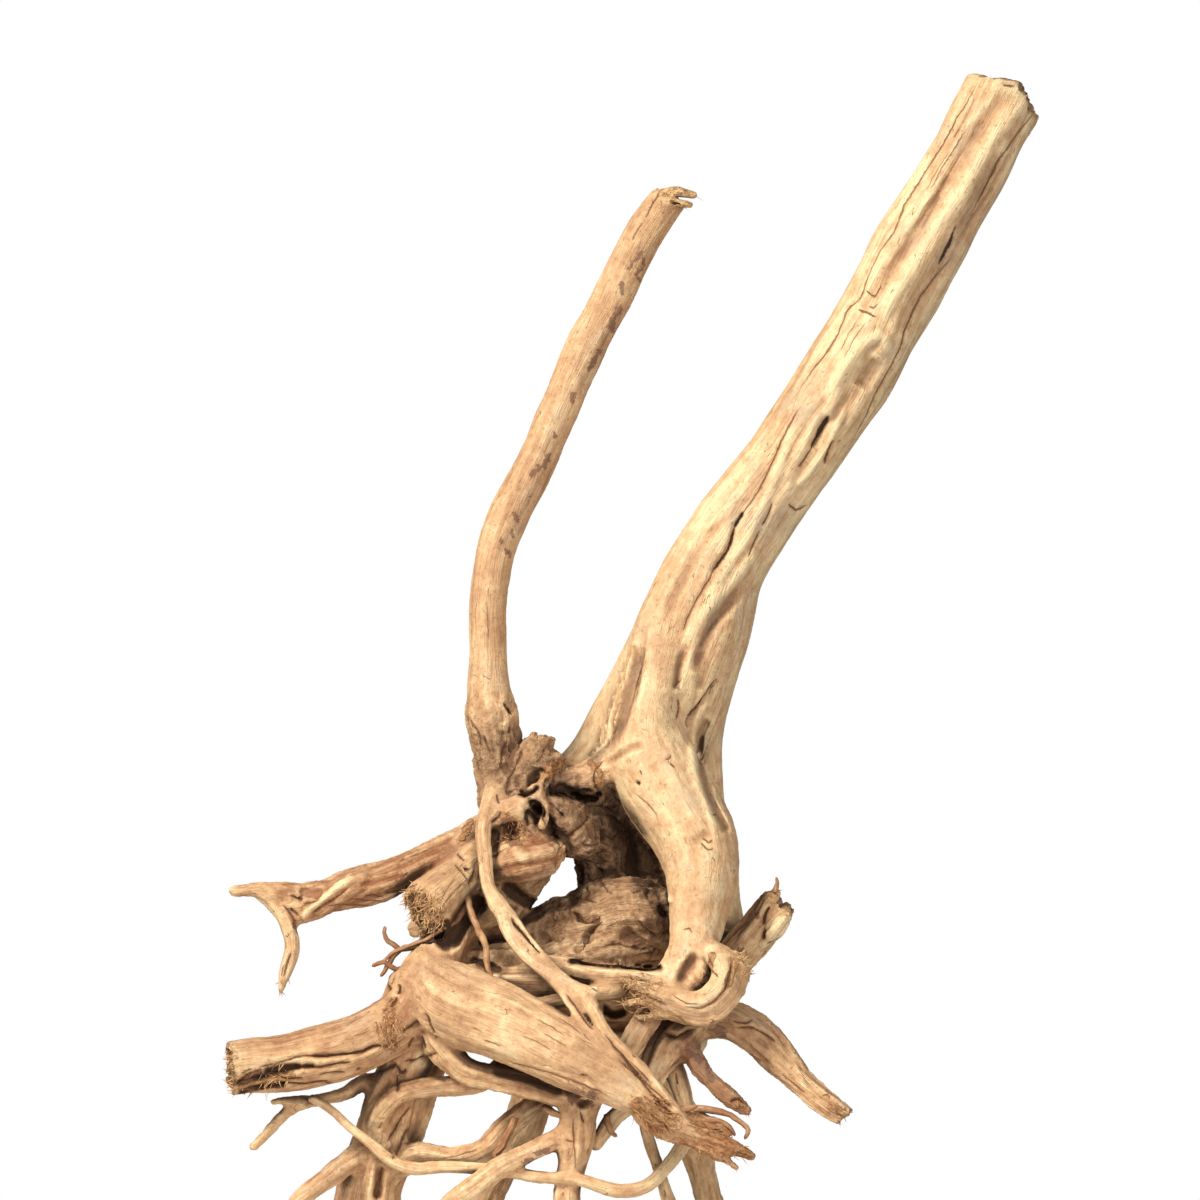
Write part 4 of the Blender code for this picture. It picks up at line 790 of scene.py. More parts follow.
def noises(points, seeds):
    """A column of noise for each seed."""
    return np.stack([noise(points, seed) for seed in seeds], axis=1)


def beyond_cut(points, middle, away, ragged, seed):
    """How far the points are past a broken end, whose splinters run along the grain."""
    away = np.array(away) / np.linalg.norm(away)
    offset = points - np.array(middle)
    along = offset @ away
    lengthwise = along[:, None] * away
    across = offset - lengthwise
    thin = noise(across / 2.6 + lengthwise / 14, seed)
    broad = noise(across / 6 + lengthwise / 30, seed + 1)
    return along + ragged * (thin + 0.6 * broad)


def cut_end(block, middle, away, ragged, reach, seed):
    """Takes the wood past a broken end away."""
    centre = np.array(middle, float)
    window = block.window(centre - reach, centre + reach)
    x, y, z = np.broadcast_arrays(*block.places(*window))
    points = np.stack([x.ravel(), y.ravel(), z.ravel()], axis=1).astype(float)
    near = np.linalg.norm(points - centre, axis=1) < reach
    depth = np.full(len(points), -FAR)
    depth[near] = beyond_cut(points[near], middle, away, ragged, seed)
    part = block.part(*window)
    np.maximum(part, depth.reshape(part.shape).astype(np.float32), out=part)


def crossing_cells(inside):
    """Flat numbers of the cells that the skin passes through."""
    count = inside.astype(np.uint8)
    count = count[:-1] + count[1:]
    count = count[:, :-1] + count[:, 1:]
    count = count[:, :, :-1] + count[:, :, 1:]
    return np.flatnonzero((count > 0) & (count < 8)), count.shape


def cell_points(block, cells, shape):
    """One point in each crossed cell: the mean of where the skin cuts its edges."""
    where = np.stack(np.unravel_index(cells, shape), axis=1)
    corners = {}
    for number in range(8):
        step = [number & 1, number >> 1 & 1, number >> 2]
        corners[number] = block.value[tuple((where + step).T)]
    total = np.zeros(where.shape)
    hits = np.zeros(len(where))
    for number in range(8):
        for axis in range(3):
            other = number | 1 << axis
            if other == number:
                continue
            one, two = corners[number], corners[other]
            cut = (one < 0) != (two < 0)
            place = np.tile(np.array([number & 1, number >> 1 & 1, number >> 2], float), (len(where), 1))
            place[:, axis] += one / np.where(cut, one - two, 1)
            total += np.where(cut[:, None], place, 0)
            hits += cut
    return block.low + (where + total / hits[:, None]) * block.cell


def cell_quads(inside, cells, shape):
    """One quad round each edge of the block that the skin cuts, facing out."""
    quads = []
    for axis in range(3):
        ahead = [slice(None)] * 3
        behind = [slice(None)] * 3
        behind[axis] = slice(0, -1)
        ahead[axis] = slice(1, None)
        near, far = inside[tuple(behind)], inside[tuple(ahead)]
        edges = np.stack(np.nonzero(near != far), axis=1)
        across, up = (axis + 1) % 3, (axis + 2) % 3
        middle = (edges[:, across] > 0) & (edges[:, up] > 0)
        middle &= (edges[:, across] < shape[across]) & (edges[:, up] < shape[up])
        edges = edges[middle]
        ring = []
        for back_across, back_up in ((0, 0), (1, 0), (1, 1), (0, 1)):
            cell = edges.copy()
            cell[:, across] -= back_across
            cell[:, up] -= back_up
            ring.append(np.searchsorted(cells, np.ravel_multi_index(tuple(cell.T), shape)))
        ring = np.stack(ring, axis=1)
        outward = near[tuple(edges.T)]
        ring[~outward] = ring[~outward][:, ::-1]
        quads.append(ring)
    return np.vstack(quads)


def field_at(block, points):
    """The distance and its slope at loose points."""
    spot = (points - block.low) / block.cell
    base = np.clip(np.floor(spot).astype(int), 0, block.shape - 2)
    t = spot - base
    corner = np.empty((2, 2, 2, len(points)))
    for i in range(2):
        for j in range(2):
            for k in range(2):
                corner[i, j, k] = block.value[base[:, 0] + i, base[:, 1] + j, base[:, 2] + k]
    along_x = corner[0] + (corner[1] - corner[0]) * t[:, 0]
    along_y = along_x[0] + (along_x[1] - along_x[0]) * t[:, 1]
    value = along_y[0] + (along_y[1] - along_y[0]) * t[:, 2]
    slope_z = along_y[1] - along_y[0]
    rise_y = along_x[1] - along_x[0]
    slope_y = rise_y[0] + (rise_y[1] - rise_y[0]) * t[:, 2]
    rise_x = corner[1] - corner[0]
    rise_x = rise_x[0] + (rise_x[1] - rise_x[0]) * t[:, 1]
    slope_x = rise_x[0] + (rise_x[1] - rise_x[0]) * t[:, 2]
    return value, np.stack([slope_x, slope_y, slope_z], axis=1) / block.cell


def settled(block, points):
    """The points moved onto the skin."""
    limit = 0.5 * block.cell
    for _ in range(2):
        value, slope = field_at(block, points)
        steep = np.maximum((slope ** 2).sum(1), 0.05)
        points = points - slope * np.clip(value / steep, -limit, limit)[:, None]
    return points


def quad_edges(quads):
    """The four edges of each quad, as pairs of points."""
    return np.vstack([quads[:, [0, 1]], quads[:, [1, 2]], quads[:, [2, 3]], quads[:, [3, 0]]])


def largest_shell(count, quads):
    """True for the points of the biggest connected shell."""
    pairs = quad_edges(quads)
    label = np.arange(count)
    while True:
        before = label.copy()
        lowest = np.minimum(label[pairs[:, 0]], label[pairs[:, 1]])
        for side in (0, 1):
            np.minimum.at(label, label[pairs[:, side]], lowest)
            np.minimum.at(label, pairs[:, side], lowest)
        label = label[label]
        if np.array_equal(label, before):
            break
    names, sizes = np.unique(label, return_counts=True)
    return label == names[sizes.argmax()]


def skin_of(block):
    """The skin as points and outward quads, without the shells of closed pockets."""
    inside = block.value < 0
    cells, shape = crossing_cells(inside)
    points = settled(block, cell_points(block, cells, shape))
    quads = cell_quads(inside, cells, shape)
    kept = largest_shell(len(points), quads)
    renumber = np.cumsum(kept) - 1
    quads = renumber[quads[kept[quads[:, 0]]]]
    return points[kept], quads


class Root:
    """One root: its smooth centreline, and a frame that travels along it without twisting."""

    def __init__(self, piece, finish, points, number):
        self.piece = piece
        self.finish = finish
        self.number = number
        self.path = smooth_path(points, PATH_STEP)
        run = np.diff(self.path[:, :3], axis=0)
        length = np.linalg.norm(run, axis=1)
        self.arc = np.concatenate([[0], np.cumsum(length)])
        ahead = run / length[:, None]
        self.ahead = np.vstack([ahead, ahead[-1:]])
        side = np.cross(self.ahead[0], (0.31, 0.87, 0.38))
        sides = []
        for direction in self.ahead:
            side = side - (side @ direction) * direction
            side /= np.linalg.norm(side)
            sides.append(side)
        self.side = np.array(sides)
        self.up = np.cross(self.ahead, self.side)

    def near(self, points, reach):
        """Numbers of the points within reach, their distance from the root, and their grain."""
        numbers = self.inside_box(points, np.arange(len(points)), self.path, reach)
        best = np.full(len(numbers), np.inf)
        spot = np.zeros(len(numbers))
        for first in range(0, len(self.path) - 1, SHORT_RUN):
            piece = self.path[first:first + SHORT_RUN + 1]
            picked = self.inside_box(points[numbers], np.arange(len(numbers)), piece, reach)
            here = points[numbers[picked]]
            for i, (start, stop) in enumerate(zip(piece[:-1], piece[1:])):
                run = (stop - start)[:3]
                along = np.clip((here - start[:3]) @ run / (run @ run), 0, 1)
                gap = np.linalg.norm(here - start[:3] - along[:, None] * run, axis=1)
                gap -= start[3] + along * (stop[3] - start[3])
                closer = gap < best[picked]
                best[picked[closer]] = gap[closer]
                spot[picked[closer]] = first + i + along[closer]
        kept = best < reach
        numbers, best, spot = numbers[kept], best[kept], spot[kept]
        return numbers, best, self.grain(points[numbers], spot)

    @staticmethod
    def inside_box(points, numbers, path, reach):
        """The numbers of the points that lie in the box round a path."""
        low, high = path_box(path, reach)
        return numbers[((points > low) & (points < high)).all(1)]

    def grain(self, points, spot):
        """Length along the root, the two offsets across it, and its radius there."""
        knot = np.minimum(spot.astype(int), len(self.path) - 2)
        t = (spot - knot)[:, None]
        centre = self.path[knot] * (1 - t) + self.path[knot + 1] * t
        offset = points - centre[:, :3]
        side = self.side[knot] * (1 - t) + self.side[knot + 1] * t
        up = self.up[knot] * (1 - t) + self.up[knot + 1] * t
        arc = self.arc[knot] * (1 - t[:, 0]) + self.arc[knot + 1] * t[:, 0]
        beyond = (offset * self.ahead[knot]).sum(1)
        return np.stack([arc + beyond, (offset * side).sum(1), (offset * up).sum(1), centre[:, 3]], axis=1)


def vertex_normals(points, quads):
    """Unit normals of the points, from the quads round them."""
    one = points[quads[:, 2]] - points[quads[:, 0]]
    two = points[quads[:, 3]] - points[quads[:, 1]]
    face = np.cross(one, two)
    normals = np.zeros_like(points)
    for axis in range(3):
        for corner in range(4):
            normals[:, axis] += np.bincount(quads[:, corner], face[:, axis], len(points))
    return normals / np.maximum(np.linalg.norm(normals, axis=1), 1e-9)[:, None]


def smoothed(values, quads, passes):
    """Values averaged over each point's neighbours, a number of times."""
    count = len(values)
    pairs = quad_edges(quads)
    share = np.bincount(pairs[:, 0], minlength=count) + 1.0
    columns = values.reshape(count, -1).astype(float).copy()
    for _ in range(passes):
        for column in range(columns.shape[1]):
            gathered = np.bincount(pairs[:, 0], columns[pairs[:, 1], column], count)
            columns[:, column] = (columns[:, column] + gathered) / share
    return columns.reshape(values.shape)


def mixed_over_roots(count, roots, near, value_of):
    """A value worked out in each root's own grain, mixed where roots meet."""
    nearest = np.full(count, np.inf)
    for numbers, gap, _ in near:
        np.minimum.at(nearest, numbers, gap)
    total = np.zeros(count)
    weight = np.zeros(count)
    for root, (numbers, gap, grain) in zip(roots, near):
        share = np.maximum(0, 1 - (gap - nearest[numbers]) / GRAIN_BLEND) ** 2
        used = share > 0
        total[numbers[used]] += share[used] * value_of(root, grain[used])
        weight[numbers[used]] += share[used]
    return total / np.maximum(weight, 1e-9)


def grain_height(root, grain):
    """The relief of one root in millimetres: broad smooth folds with narrow valleys, and fine ridges."""
    flute, ridge = FINISHES[root.finish][:2]
    arc, side, up, radius = grain.T
    across = np.maximum(radius, 3.0)

    def drawn(length, width, seed):
        return noise(np.stack([arc / length, side / width, up / width], axis=1), root.number + seed)

    fold = np.abs(drawn(4 * across + 14, 0.80 * across, 0)) ** 0.8
    swell = drawn(2.4 * across + 10, 0.60 * across, 50)
    crease = np.abs(drawn(2.6 * across + 12, 0.34 * across, 150)) ** 0.8
    folds = flute * radius * (2.2 * fold - 0.7 + 0.7 * swell + 0.8 * crease - 0.25)
    return folds + ridge * (drawn(24, 2.4, 100) + 1.4 * drawn(34, 5.0, 120))


def finish_value(count, roots, near, name):
    """One number of the finishes at each point, mixed where roots meet."""
    return mixed_over_roots(count, roots, near, lambda root, grain: getattr(FINISHES[root.finish], name))


def lumps(points):
    """Knobbly bark relief, about -1 to 1, the same in every direction."""
    big = 1 - 2 * np.abs(noise(points / 11, 301))
    small = 1 - 2 * np.abs(noise(points / 5, 302))
    rough = 1 - 2 * np.abs(noise(points / 2.6, 303))
    return 0.5 * big + 0.4 * small + 0.3 * rough - 0.35


def with_relief(points, quads, roots, near):
    """The skin with its folds, ridges and bark, and a slow drift so that no root stays a plain tube."""
    height = mixed_over_roots(len(points), roots, near, grain_height)
    height += finish_value(len(points), roots, near, "lump") * lumps(points)
    free = np.clip(points[:, 2] / FOOT_HEIGHT, 0, 1)
    points = points + vertex_normals(points, quads) * (height * free)[:, None]
    points = points + DRIFT * noises(points / DRIFT_SIZE, (401, 402, 403)) * free[:, None]
    points[:, 2] = np.maximum(points[:, 2], 0)
    return points


def seen(points):
    """Where the camera sees each point, in pixels across and down the photograph."""
    nearer = -EYE[1] / (points[:, 1] - EYE[1])
    across = PHOTO_MIDDLE + PIXELS_PER_MM * (points[:, 0] - EYE[0]) * nearer
    down = PHOTO_MIDDLE - PIXELS_PER_MM * (points[:, 2] - EYE[2]) * nearer
    return np.stack([across, down], axis=1)


def in_view(points, normals):
    """Numbers of the points that the camera sees, where it sees them, and how squarely they face it."""
    square = np.clip((-normals[:, 1] - EDGE_ON) / EDGE_FADE, 0, 1)
    numbers = np.flatnonzero(square > 0)
    spots = seen(points[numbers])
    column, row = np.clip(spots / SEEN_CELL, 0, 2 * PHOTO_MIDDLE / SEEN_CELL).astype(int).T
    nearest = np.full((row.max() + 1, column.max() + 1), np.inf)
    np.minimum.at(nearest, (row, column), points[numbers, 1])
    front = points[numbers, 1] < nearest[row, column] + SEEN_DEPTH
    return numbers[front], spots[front], square[numbers[front]]


def beside(spots, path):
    """How far to the right of a path each spot lies, and how far along the path, from 0 to 1."""
    best = np.full(len(spots), np.inf)
    side = np.zeros(len(spots))
    place = np.zeros(len(spots))
    for i, (start, stop) in enumerate(zip(path[:-1], path[1:])):
        run = stop - start
        along = np.clip((spots - start) @ run / (run @ run), 0, 1)
        offset = spots - start - along[:, None] * run
        gap = np.linalg.norm(offset, axis=1)
        closer = gap < best
        best[closer] = gap[closer]
        side[closer] = np.where(run[0] * offset[closer, 1] > run[1] * offset[closer, 0], -1.0, 1.0)
        place[closer] = i + along[closer]
    return best * side, place / (len(path) - 1)


def mark_depth(kind, side, half_width):
    """The depth profile across a mark, as a part of its depth."""
    q = np.clip(np.abs(side) / half_width, 0, 1)
    if kind == "crack":
        return (1 - q) ** 1.3
    if kind == "pit":
        return (1 - q ** 2) ** 1.5
    if kind == "step":
        return np.where(side > 0, (1 - q) ** 2, np.clip(1 - 3 * q, 0, 1))
    return (1 - q ** 2) ** 2


def mark_at(kind, half_width, route, spots, square):
    """The spots that a mark reaches, and there the distance beside it, its taper and its strength."""
    path = smooth_path(route, MARK_STEP)
    margin = max(half_width, LINE_REACH)
    picked = np.flatnonzero(((spots > path.min(0) - margin) & (spots < path.max(0) + margin)).all(1))
    side, along = beside(spots[picked], path)
    tapered = np.clip(np.minimum(along, 1 - along) / MARK_TAPER, 0, 1) ** 0.6
    if kind == "pit" or kind in PAINTS:
        tapered = np.ones(len(picked))
    return picked, side, tapered, mark_depth(kind, side, half_width) * tapered * square[picked]


def draw_line(drawn, mine, side, tapered, half_line):
    """Stores the distance to a dark line and half its width, where no line before it is nearer."""
    closer = np.abs(side) < np.abs(drawn[mine, 0])
    mine, side, tapered = mine[closer], side[closer], tapered[closer]
    fades = np.clip(LINE_REACH - 1 - np.abs(side), 0, 1)
    drawn[mine, 0] = side
    drawn[mine, 1] = LINE_WEIGHT * half_line * tapered * fades


def with_marks(points, quads):
    """The skin with its marks, and the numbers that draw their dark lines and stains."""
    normals = vertex_normals(points, quads)
    numbers, spots, square = in_view(points, normals)
    spots = spots + MARK_WOBBLE * noises(points[numbers] / MARK_WAVE, (501, 502))
    count = len(points)
    inward = np.zeros(count)
    backward = np.zeros(count)
    painted = {kind: np.zeros(count) for kind in ("shade", *PAINTS)}
    lines = [np.tile((2 * LINE_REACH, 0.0, 0.0), (count, 1)) for _ in range(2)]
    marks = [mark for group in MARKS.values() for mark in group]
    for order, (kind, half_width, depth, half_line, route) in enumerate(marks):
        picked, side, tapered, amount = mark_at(kind, half_width, route, spots, square)
        mine = numbers[picked]
        if kind in PAINTS:
            painted[kind][mine] = np.maximum(painted[kind][mine], depth * amount)
        elif kind == "pit":
            backward[mine] = np.maximum(backward[mine], depth * amount)
            # a pit is also painted with shade, the more the deeper it is
            painted["dark"][mine] = np.maximum(painted["dark"][mine], amount * min(1, depth / DARK_DEPTH))
        else:
            inward[mine] += depth * amount * (-1 if kind == "ridge" else 1)
        # hollows and ridges also store painted shade and painted light for the wood's tone
        if kind in ("hollow", "ridge"):
            painted["shade"][mine] += min(depth / 2, 1) * amount * (1 if kind == "ridge" else -1)
        if half_line:
            draw_line(lines[order % 2], mine, side, tapered, half_line)
    points = points - normals * inward[:, None]
    points[:, 1] += backward
    return points, {"lines_one": lines[0], "lines_two": lines[1], **painted}


def points_near(points, place, reach):
    """Numbers of the points within reach of a place."""
    return np.flatnonzero(np.linalg.norm(points - np.array(place), axis=1) < reach)


def torn_share(points):
    """How much each point belongs to a broken end."""
    torn = np.zeros(len(points))
    for number, (middle, away, ragged, reach) in enumerate(CUTS):
        near = points_near(points, middle, reach)
        depth = beyond_cut(points[near], middle, away, ragged, 10 * number)
        most = SAWN_SHARE if ragged < SAWN_RAGGED else 1.0
        torn[near] = np.maximum(torn[near], np.clip(1.5 + depth / 1.5, 0, most))
    return torn


def openness(points, normals, coarse):
    """How freely each point sees out of the wood: 0 deep in a hollow, 1 in the open."""
    total = np.zeros(len(points))
    for step in OPEN_STEPS:
        value, _ = field_at(coarse, points + normals * step)
        total += np.clip(value / step, 0, 1)
    return total / len(OPEN_STEPS)


def wood_block():
    """The whole stump as signed distances, cut at its broken ends and flat at the feet."""
    block = Block(BLOCK_LOW, BLOCK_HIGH, CELL)
    whole = [points for roots in ROOTS.values() for finish, points in roots if finish not in PAST_CUTS]
    splinters = [points for roots in ROOTS.values() for finish, points in roots if finish in PAST_CUTS]
    for points in whole:
        join(block, smooth_path(points, PATH_STEP), FILLET)
    for number, (middle, away, ragged, reach) in enumerate(CUTS):
        cut_end(block, middle, away, ragged, reach, 10 * number)
    for points in splinters:
        join(block, smooth_path(points, PATH_STEP), 0.5 * FILLET)
    floor = block.places(np.zeros(3, int), block.shape)[2]
    np.maximum(block.value, -floor, out=block.value)
    return block


def coarse_block():
    """The stump again in wide cells and with a long reach, to tell how open a place is."""
    block = Block(np.array(BLOCK_LOW) - COARSE_REACH, np.array(BLOCK_HIGH) + COARSE_REACH, COARSE_CELL)
    for roots in ROOTS.values():
        for _, points in roots:
            join(block, smooth_path(points, 2 * PATH_STEP), FILLET, COARSE_REACH)
    return block


def two_nearest(count, near):
    """Numbers of the nearest and the second nearest root of each point."""
    first = np.full(count, -1)
    second = np.full(count, -1)
    first_gap = np.full(count, FAR)
    second_gap = np.full(count, FAR)
    for number, (ids, gap, _) in enumerate(near):
        closer = gap < first_gap[ids]
        won = ids[closer]
        second[won] = first[won]
        second_gap[won] = first_gap[won]
        first[won] = number
        first_gap[won] = gap[closer]
        runner = ids[~closer]
        runner_gap = gap[~closer]
        better = runner_gap < second_gap[runner]
        second[runner[better]] = number
        second_gap[runner[better]] = runner_gap[better]
    return first, np.where(second < 0, first, second)


def corner_grain(points, quads, near):
    """Each quad's own root, and the grain of its two nearest roots at its corners, with their shares."""
    count = len(points)
    first, second = two_nearest(count, near)
    corners = quads.ravel()
    one = np.repeat(first[quads[:, 0]], 4)
    two = np.repeat(second[quads[:, 0]], 4)
    grain_one = np.zeros((len(corners), 3))
    grain_two = np.zeros((len(corners), 3))
    gap_one = np.full(len(corners), FAR)
    gap_two = np.full(len(corners), FAR)
    lookup = np.full(count, -1)
    for number, (ids, gap, grain) in enumerate(near):
        lookup[ids] = np.arange(len(ids))
        for owner, grain_out, gap_out in ((one, grain_one, gap_one), (two, grain_two, gap_two)):
            mine = np.flatnonzero(owner == number)
            rows = lookup[corners[mine]]
            found = rows >= 0
            mine, rows = mine[found], rows[found]
            grain_out[mine] = grain[rows, :3] + (GRAIN_APART * number, 0, 0)
            gap_out[mine] = gap[rows]
        lookup[ids] = -1
    share = np.clip(0.5 + 0.5 * (gap_two - gap_one) / GRAIN_BLEND, 0, 1)
    share[one == two] = 1.0
    return first[quads[:, 0]], {"grain_one": grain_one, "grain_two": grain_two, "grain_share": share}


def add_values(mesh, domain, values_by_name):
    """Stores a number or a vector for each point or corner of a mesh."""
    for label, values in values_by_name.items():
        kind, slot = ("FLOAT_VECTOR", "vector") if values.ndim == 2 else ("FLOAT", "value")
        attribute = mesh.attributes.new(label, kind, domain)
        attribute.data.foreach_set(slot, values.astype(np.float32).ravel())


def mesh_of(name, points, faces, material):
    """A smooth piece of equal-sided faces, in metres."""
    sides = faces.shape[1]
    mesh = bpy.data.meshes.new(name)
    mesh.vertices.add(len(points))
    mesh.vertices.foreach_set("co", (points * MM).astype(np.float32).ravel())
    mesh.loops.add(faces.size)
    mesh.loops.foreach_set("vertex_index", faces.ravel().astype(np.int32))
    mesh.polygons.add(len(faces))
    mesh.polygons.foreach_set("loop_start", np.arange(0, faces.size, sides, dtype=np.int32))
    mesh.update(calc_edges=True)
    mesh.shade_smooth()
    mesh.materials.append(material)
    piece = bpy.data.objects.new(name, mesh)
    bpy.context.scene.collection.objects.link(piece)
    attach(piece, "root")
    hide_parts(NODE)
    return piece


def unit(rows):
    """Each row scaled to length 1."""
    return rows / np.maximum(np.linalg.norm(rows, axis=-1), 1e-9)[..., None]


# Torn fibres: how deep they start in the wood, how far they lean outward, stray and bend as a share of
# their length, and the places of their four rings and three sides
FIBRE_SUNK = 0.9
FIBRE_OUTWARD = 0.15
FIBRE_STRAY = 0.34
FIBRE_BEND = 0.35
FIBRE_RINGS = (0.0, 0.4, 0.75, 1.0)
FIBRE_TURNS = (0.0, 2.1, 4.2)


def tuft(points, normals, rng, place, reach, direction, length, count):
    """Thin bent fibres that stand out of the torn wood round a place, as the points of their rings."""
    start = rng.choice(points_near(points, place, reach), count)
    out = normals[start]
    stray = FIBRE_STRAY * rng.normal(size=(count, 3))
    heading = unit(unit(np.array(direction)) + FIBRE_OUTWARD * out + stray)
    bend = FIBRE_BEND * rng.normal(size=(count, 3))
    size = length * rng.uniform(0.35, 1.15, count)
    thick = rng.uniform(0.20, 0.55, count)
    side = unit(np.cross(heading, rng.normal(size=(count, 3))))
    up = np.cross(heading, side)
    rings = []
    for t in FIBRE_RINGS:
        reached = (heading * t + bend * t * t) * (size + FIBRE_SUNK)[:, None]
        middle = points[start] - FIBRE_SUNK * out + reached
        radius = thick * (1.02 - t) ** 0.6
        for turn in FIBRE_TURNS:
            rings.append(middle + (math.cos(turn) * side + math.sin(turn) * up) * radius[:, None])
    return np.stack(rings, axis=1).reshape(-1, 3)


def fibre_faces(count):
    """The triangles of tapered three-sided fibres, each made of four rings of three points."""
    faces = [(0, 2, 1), (9, 10, 11)]
    for ring in (0, 3, 6):
        for corner in range(3):
            a, b = ring + corner, ring + (corner + 1) % 3
            faces += [(a, b, b + 3), (a, b + 3, a + 3)]
    return (np.array(faces)[None] + 12 * np.arange(count)[:, None, None]).reshape(-1, 3)


def fibres(points, normals, material):
    """Every tuft of torn fibres as one piece."""
    rng = np.random.default_rng(11)
    rings = [tuft(points, normals, rng, *row[:-1]) for row in TUFTS]
    pale = np.concatenate([np.full(len(part), row[-1]) for part, row in zip(rings, TUFTS)])
    whole = np.vstack(rings)
    whole[:, 2] = np.maximum(whole[:, 2], 0)
    piece = mesh_of("torn_fibres", whole, fibre_faces(len(whole) // 12), material)
    add_values(piece.data, "POINT", {"pale": pale})


# Thin roots: their sides, how far and how fast they wander, and how much their thickness varies
HAIR_SIDES = 10
HAIR_WANDER = 0.9
HAIR_WAVE = 6.0
HAIR_KNOBBLY = 0.30


def hair_root(number, brown, points):
    """A thin root, closed at both ends: its points, triangles, grain and other numbers."""
    root = Root("hair_roots", "pale", points, number)
    centre, radius = root.path[:, :3], root.path[:, 3]
    centre = centre + HAIR_WANDER * noises(centre / HAIR_WAVE + number, (602, 603, 604))
    turns = 2 * math.pi * np.arange(HAIR_SIDES) / HAIR_SIDES
    flat = np.stack([np.cos(turns), np.sin(turns)], axis=1)
    around = flat[:, :1] * root.side[:, None] + flat[:, 1:] * root.up[:, None]
    rings = centre[:, None] + around * radius[:, None, None]
    knobbly = 1 + HAIR_KNOBBLY * noise(rings.reshape(-1, 3) / 3.0, 601).reshape(rings.shape[:2])
    rings = centre[:, None] + around * (radius[:, None] * knobbly)[:, :, None]
    tip = centre[-1] + root.ahead[-1] * radius[-1]
    whole = np.vstack([rings.reshape(-1, 3), centre[:1], tip[None]])
    grain = np.column_stack([np.repeat(root.arc, HAIR_SIDES) + GRAIN_APART * number,
                             np.tile(flat, (len(centre), 1)) * np.repeat(radius, HAIR_SIDES)[:, None]])
    grain = np.vstack([grain, grain[:1], grain[-1:]])
    here = np.arange(HAIR_SIDES)
    after = (here + 1) % HAIR_SIDES
    faces = [np.column_stack([np.full(HAIR_SIDES, len(whole) - 2), after, here])]
    for ring in range(len(centre) - 1):
        low, high = ring * HAIR_SIDES, (ring + 1) * HAIR_SIDES
        faces += [np.column_stack([here + low, after + low, after + high]),
                  np.column_stack([here + low, after + high, here + high])]
    faces.append(np.column_stack([here + high, after + high, np.full(HAIR_SIDES, len(whole) - 1)]))
    return whole, np.vstack(faces), grain, np.full(len(whole), brown)


def hair_roots(first_number, coarse, material):
    """All the thin roots that are tubes of their own, as one piece."""
    parts = [hair_root(first_number + i, *row) for i, row in enumerate(HAIR_ROOTS)]
    starts = np.cumsum([0] + [len(part[0]) for part in parts[:-1]])
    points = np.vstack([part[0] for part in parts])
    faces = np.vstack([part[1] + start for part, start in zip(parts, starts)])
    grain = np.vstack([part[2] for part in parts])
    brown = np.concatenate([part[3] for part in parts])
    points[:, 2] = np.maximum(points[:, 2], 0)
    piece = mesh_of("hair_roots", points, faces, material)
    outward = np.array([vertex.vector for vertex in piece.data.vertex_normals])
    # their openness sets the painted shade where they lie close to the wood
    add_values(piece.data, "POINT", {"brown": brown, "openness": openness(points, outward, coarse),
                                     "polish": np.full(len(points), FINISHES["pale"].polish)})
    corners = grain[faces.ravel()]
    add_values(piece.data, "CORNER", {"grain_one": corners, "grain_two": corners,
                                      "grain_share": np.ones(faces.size)})


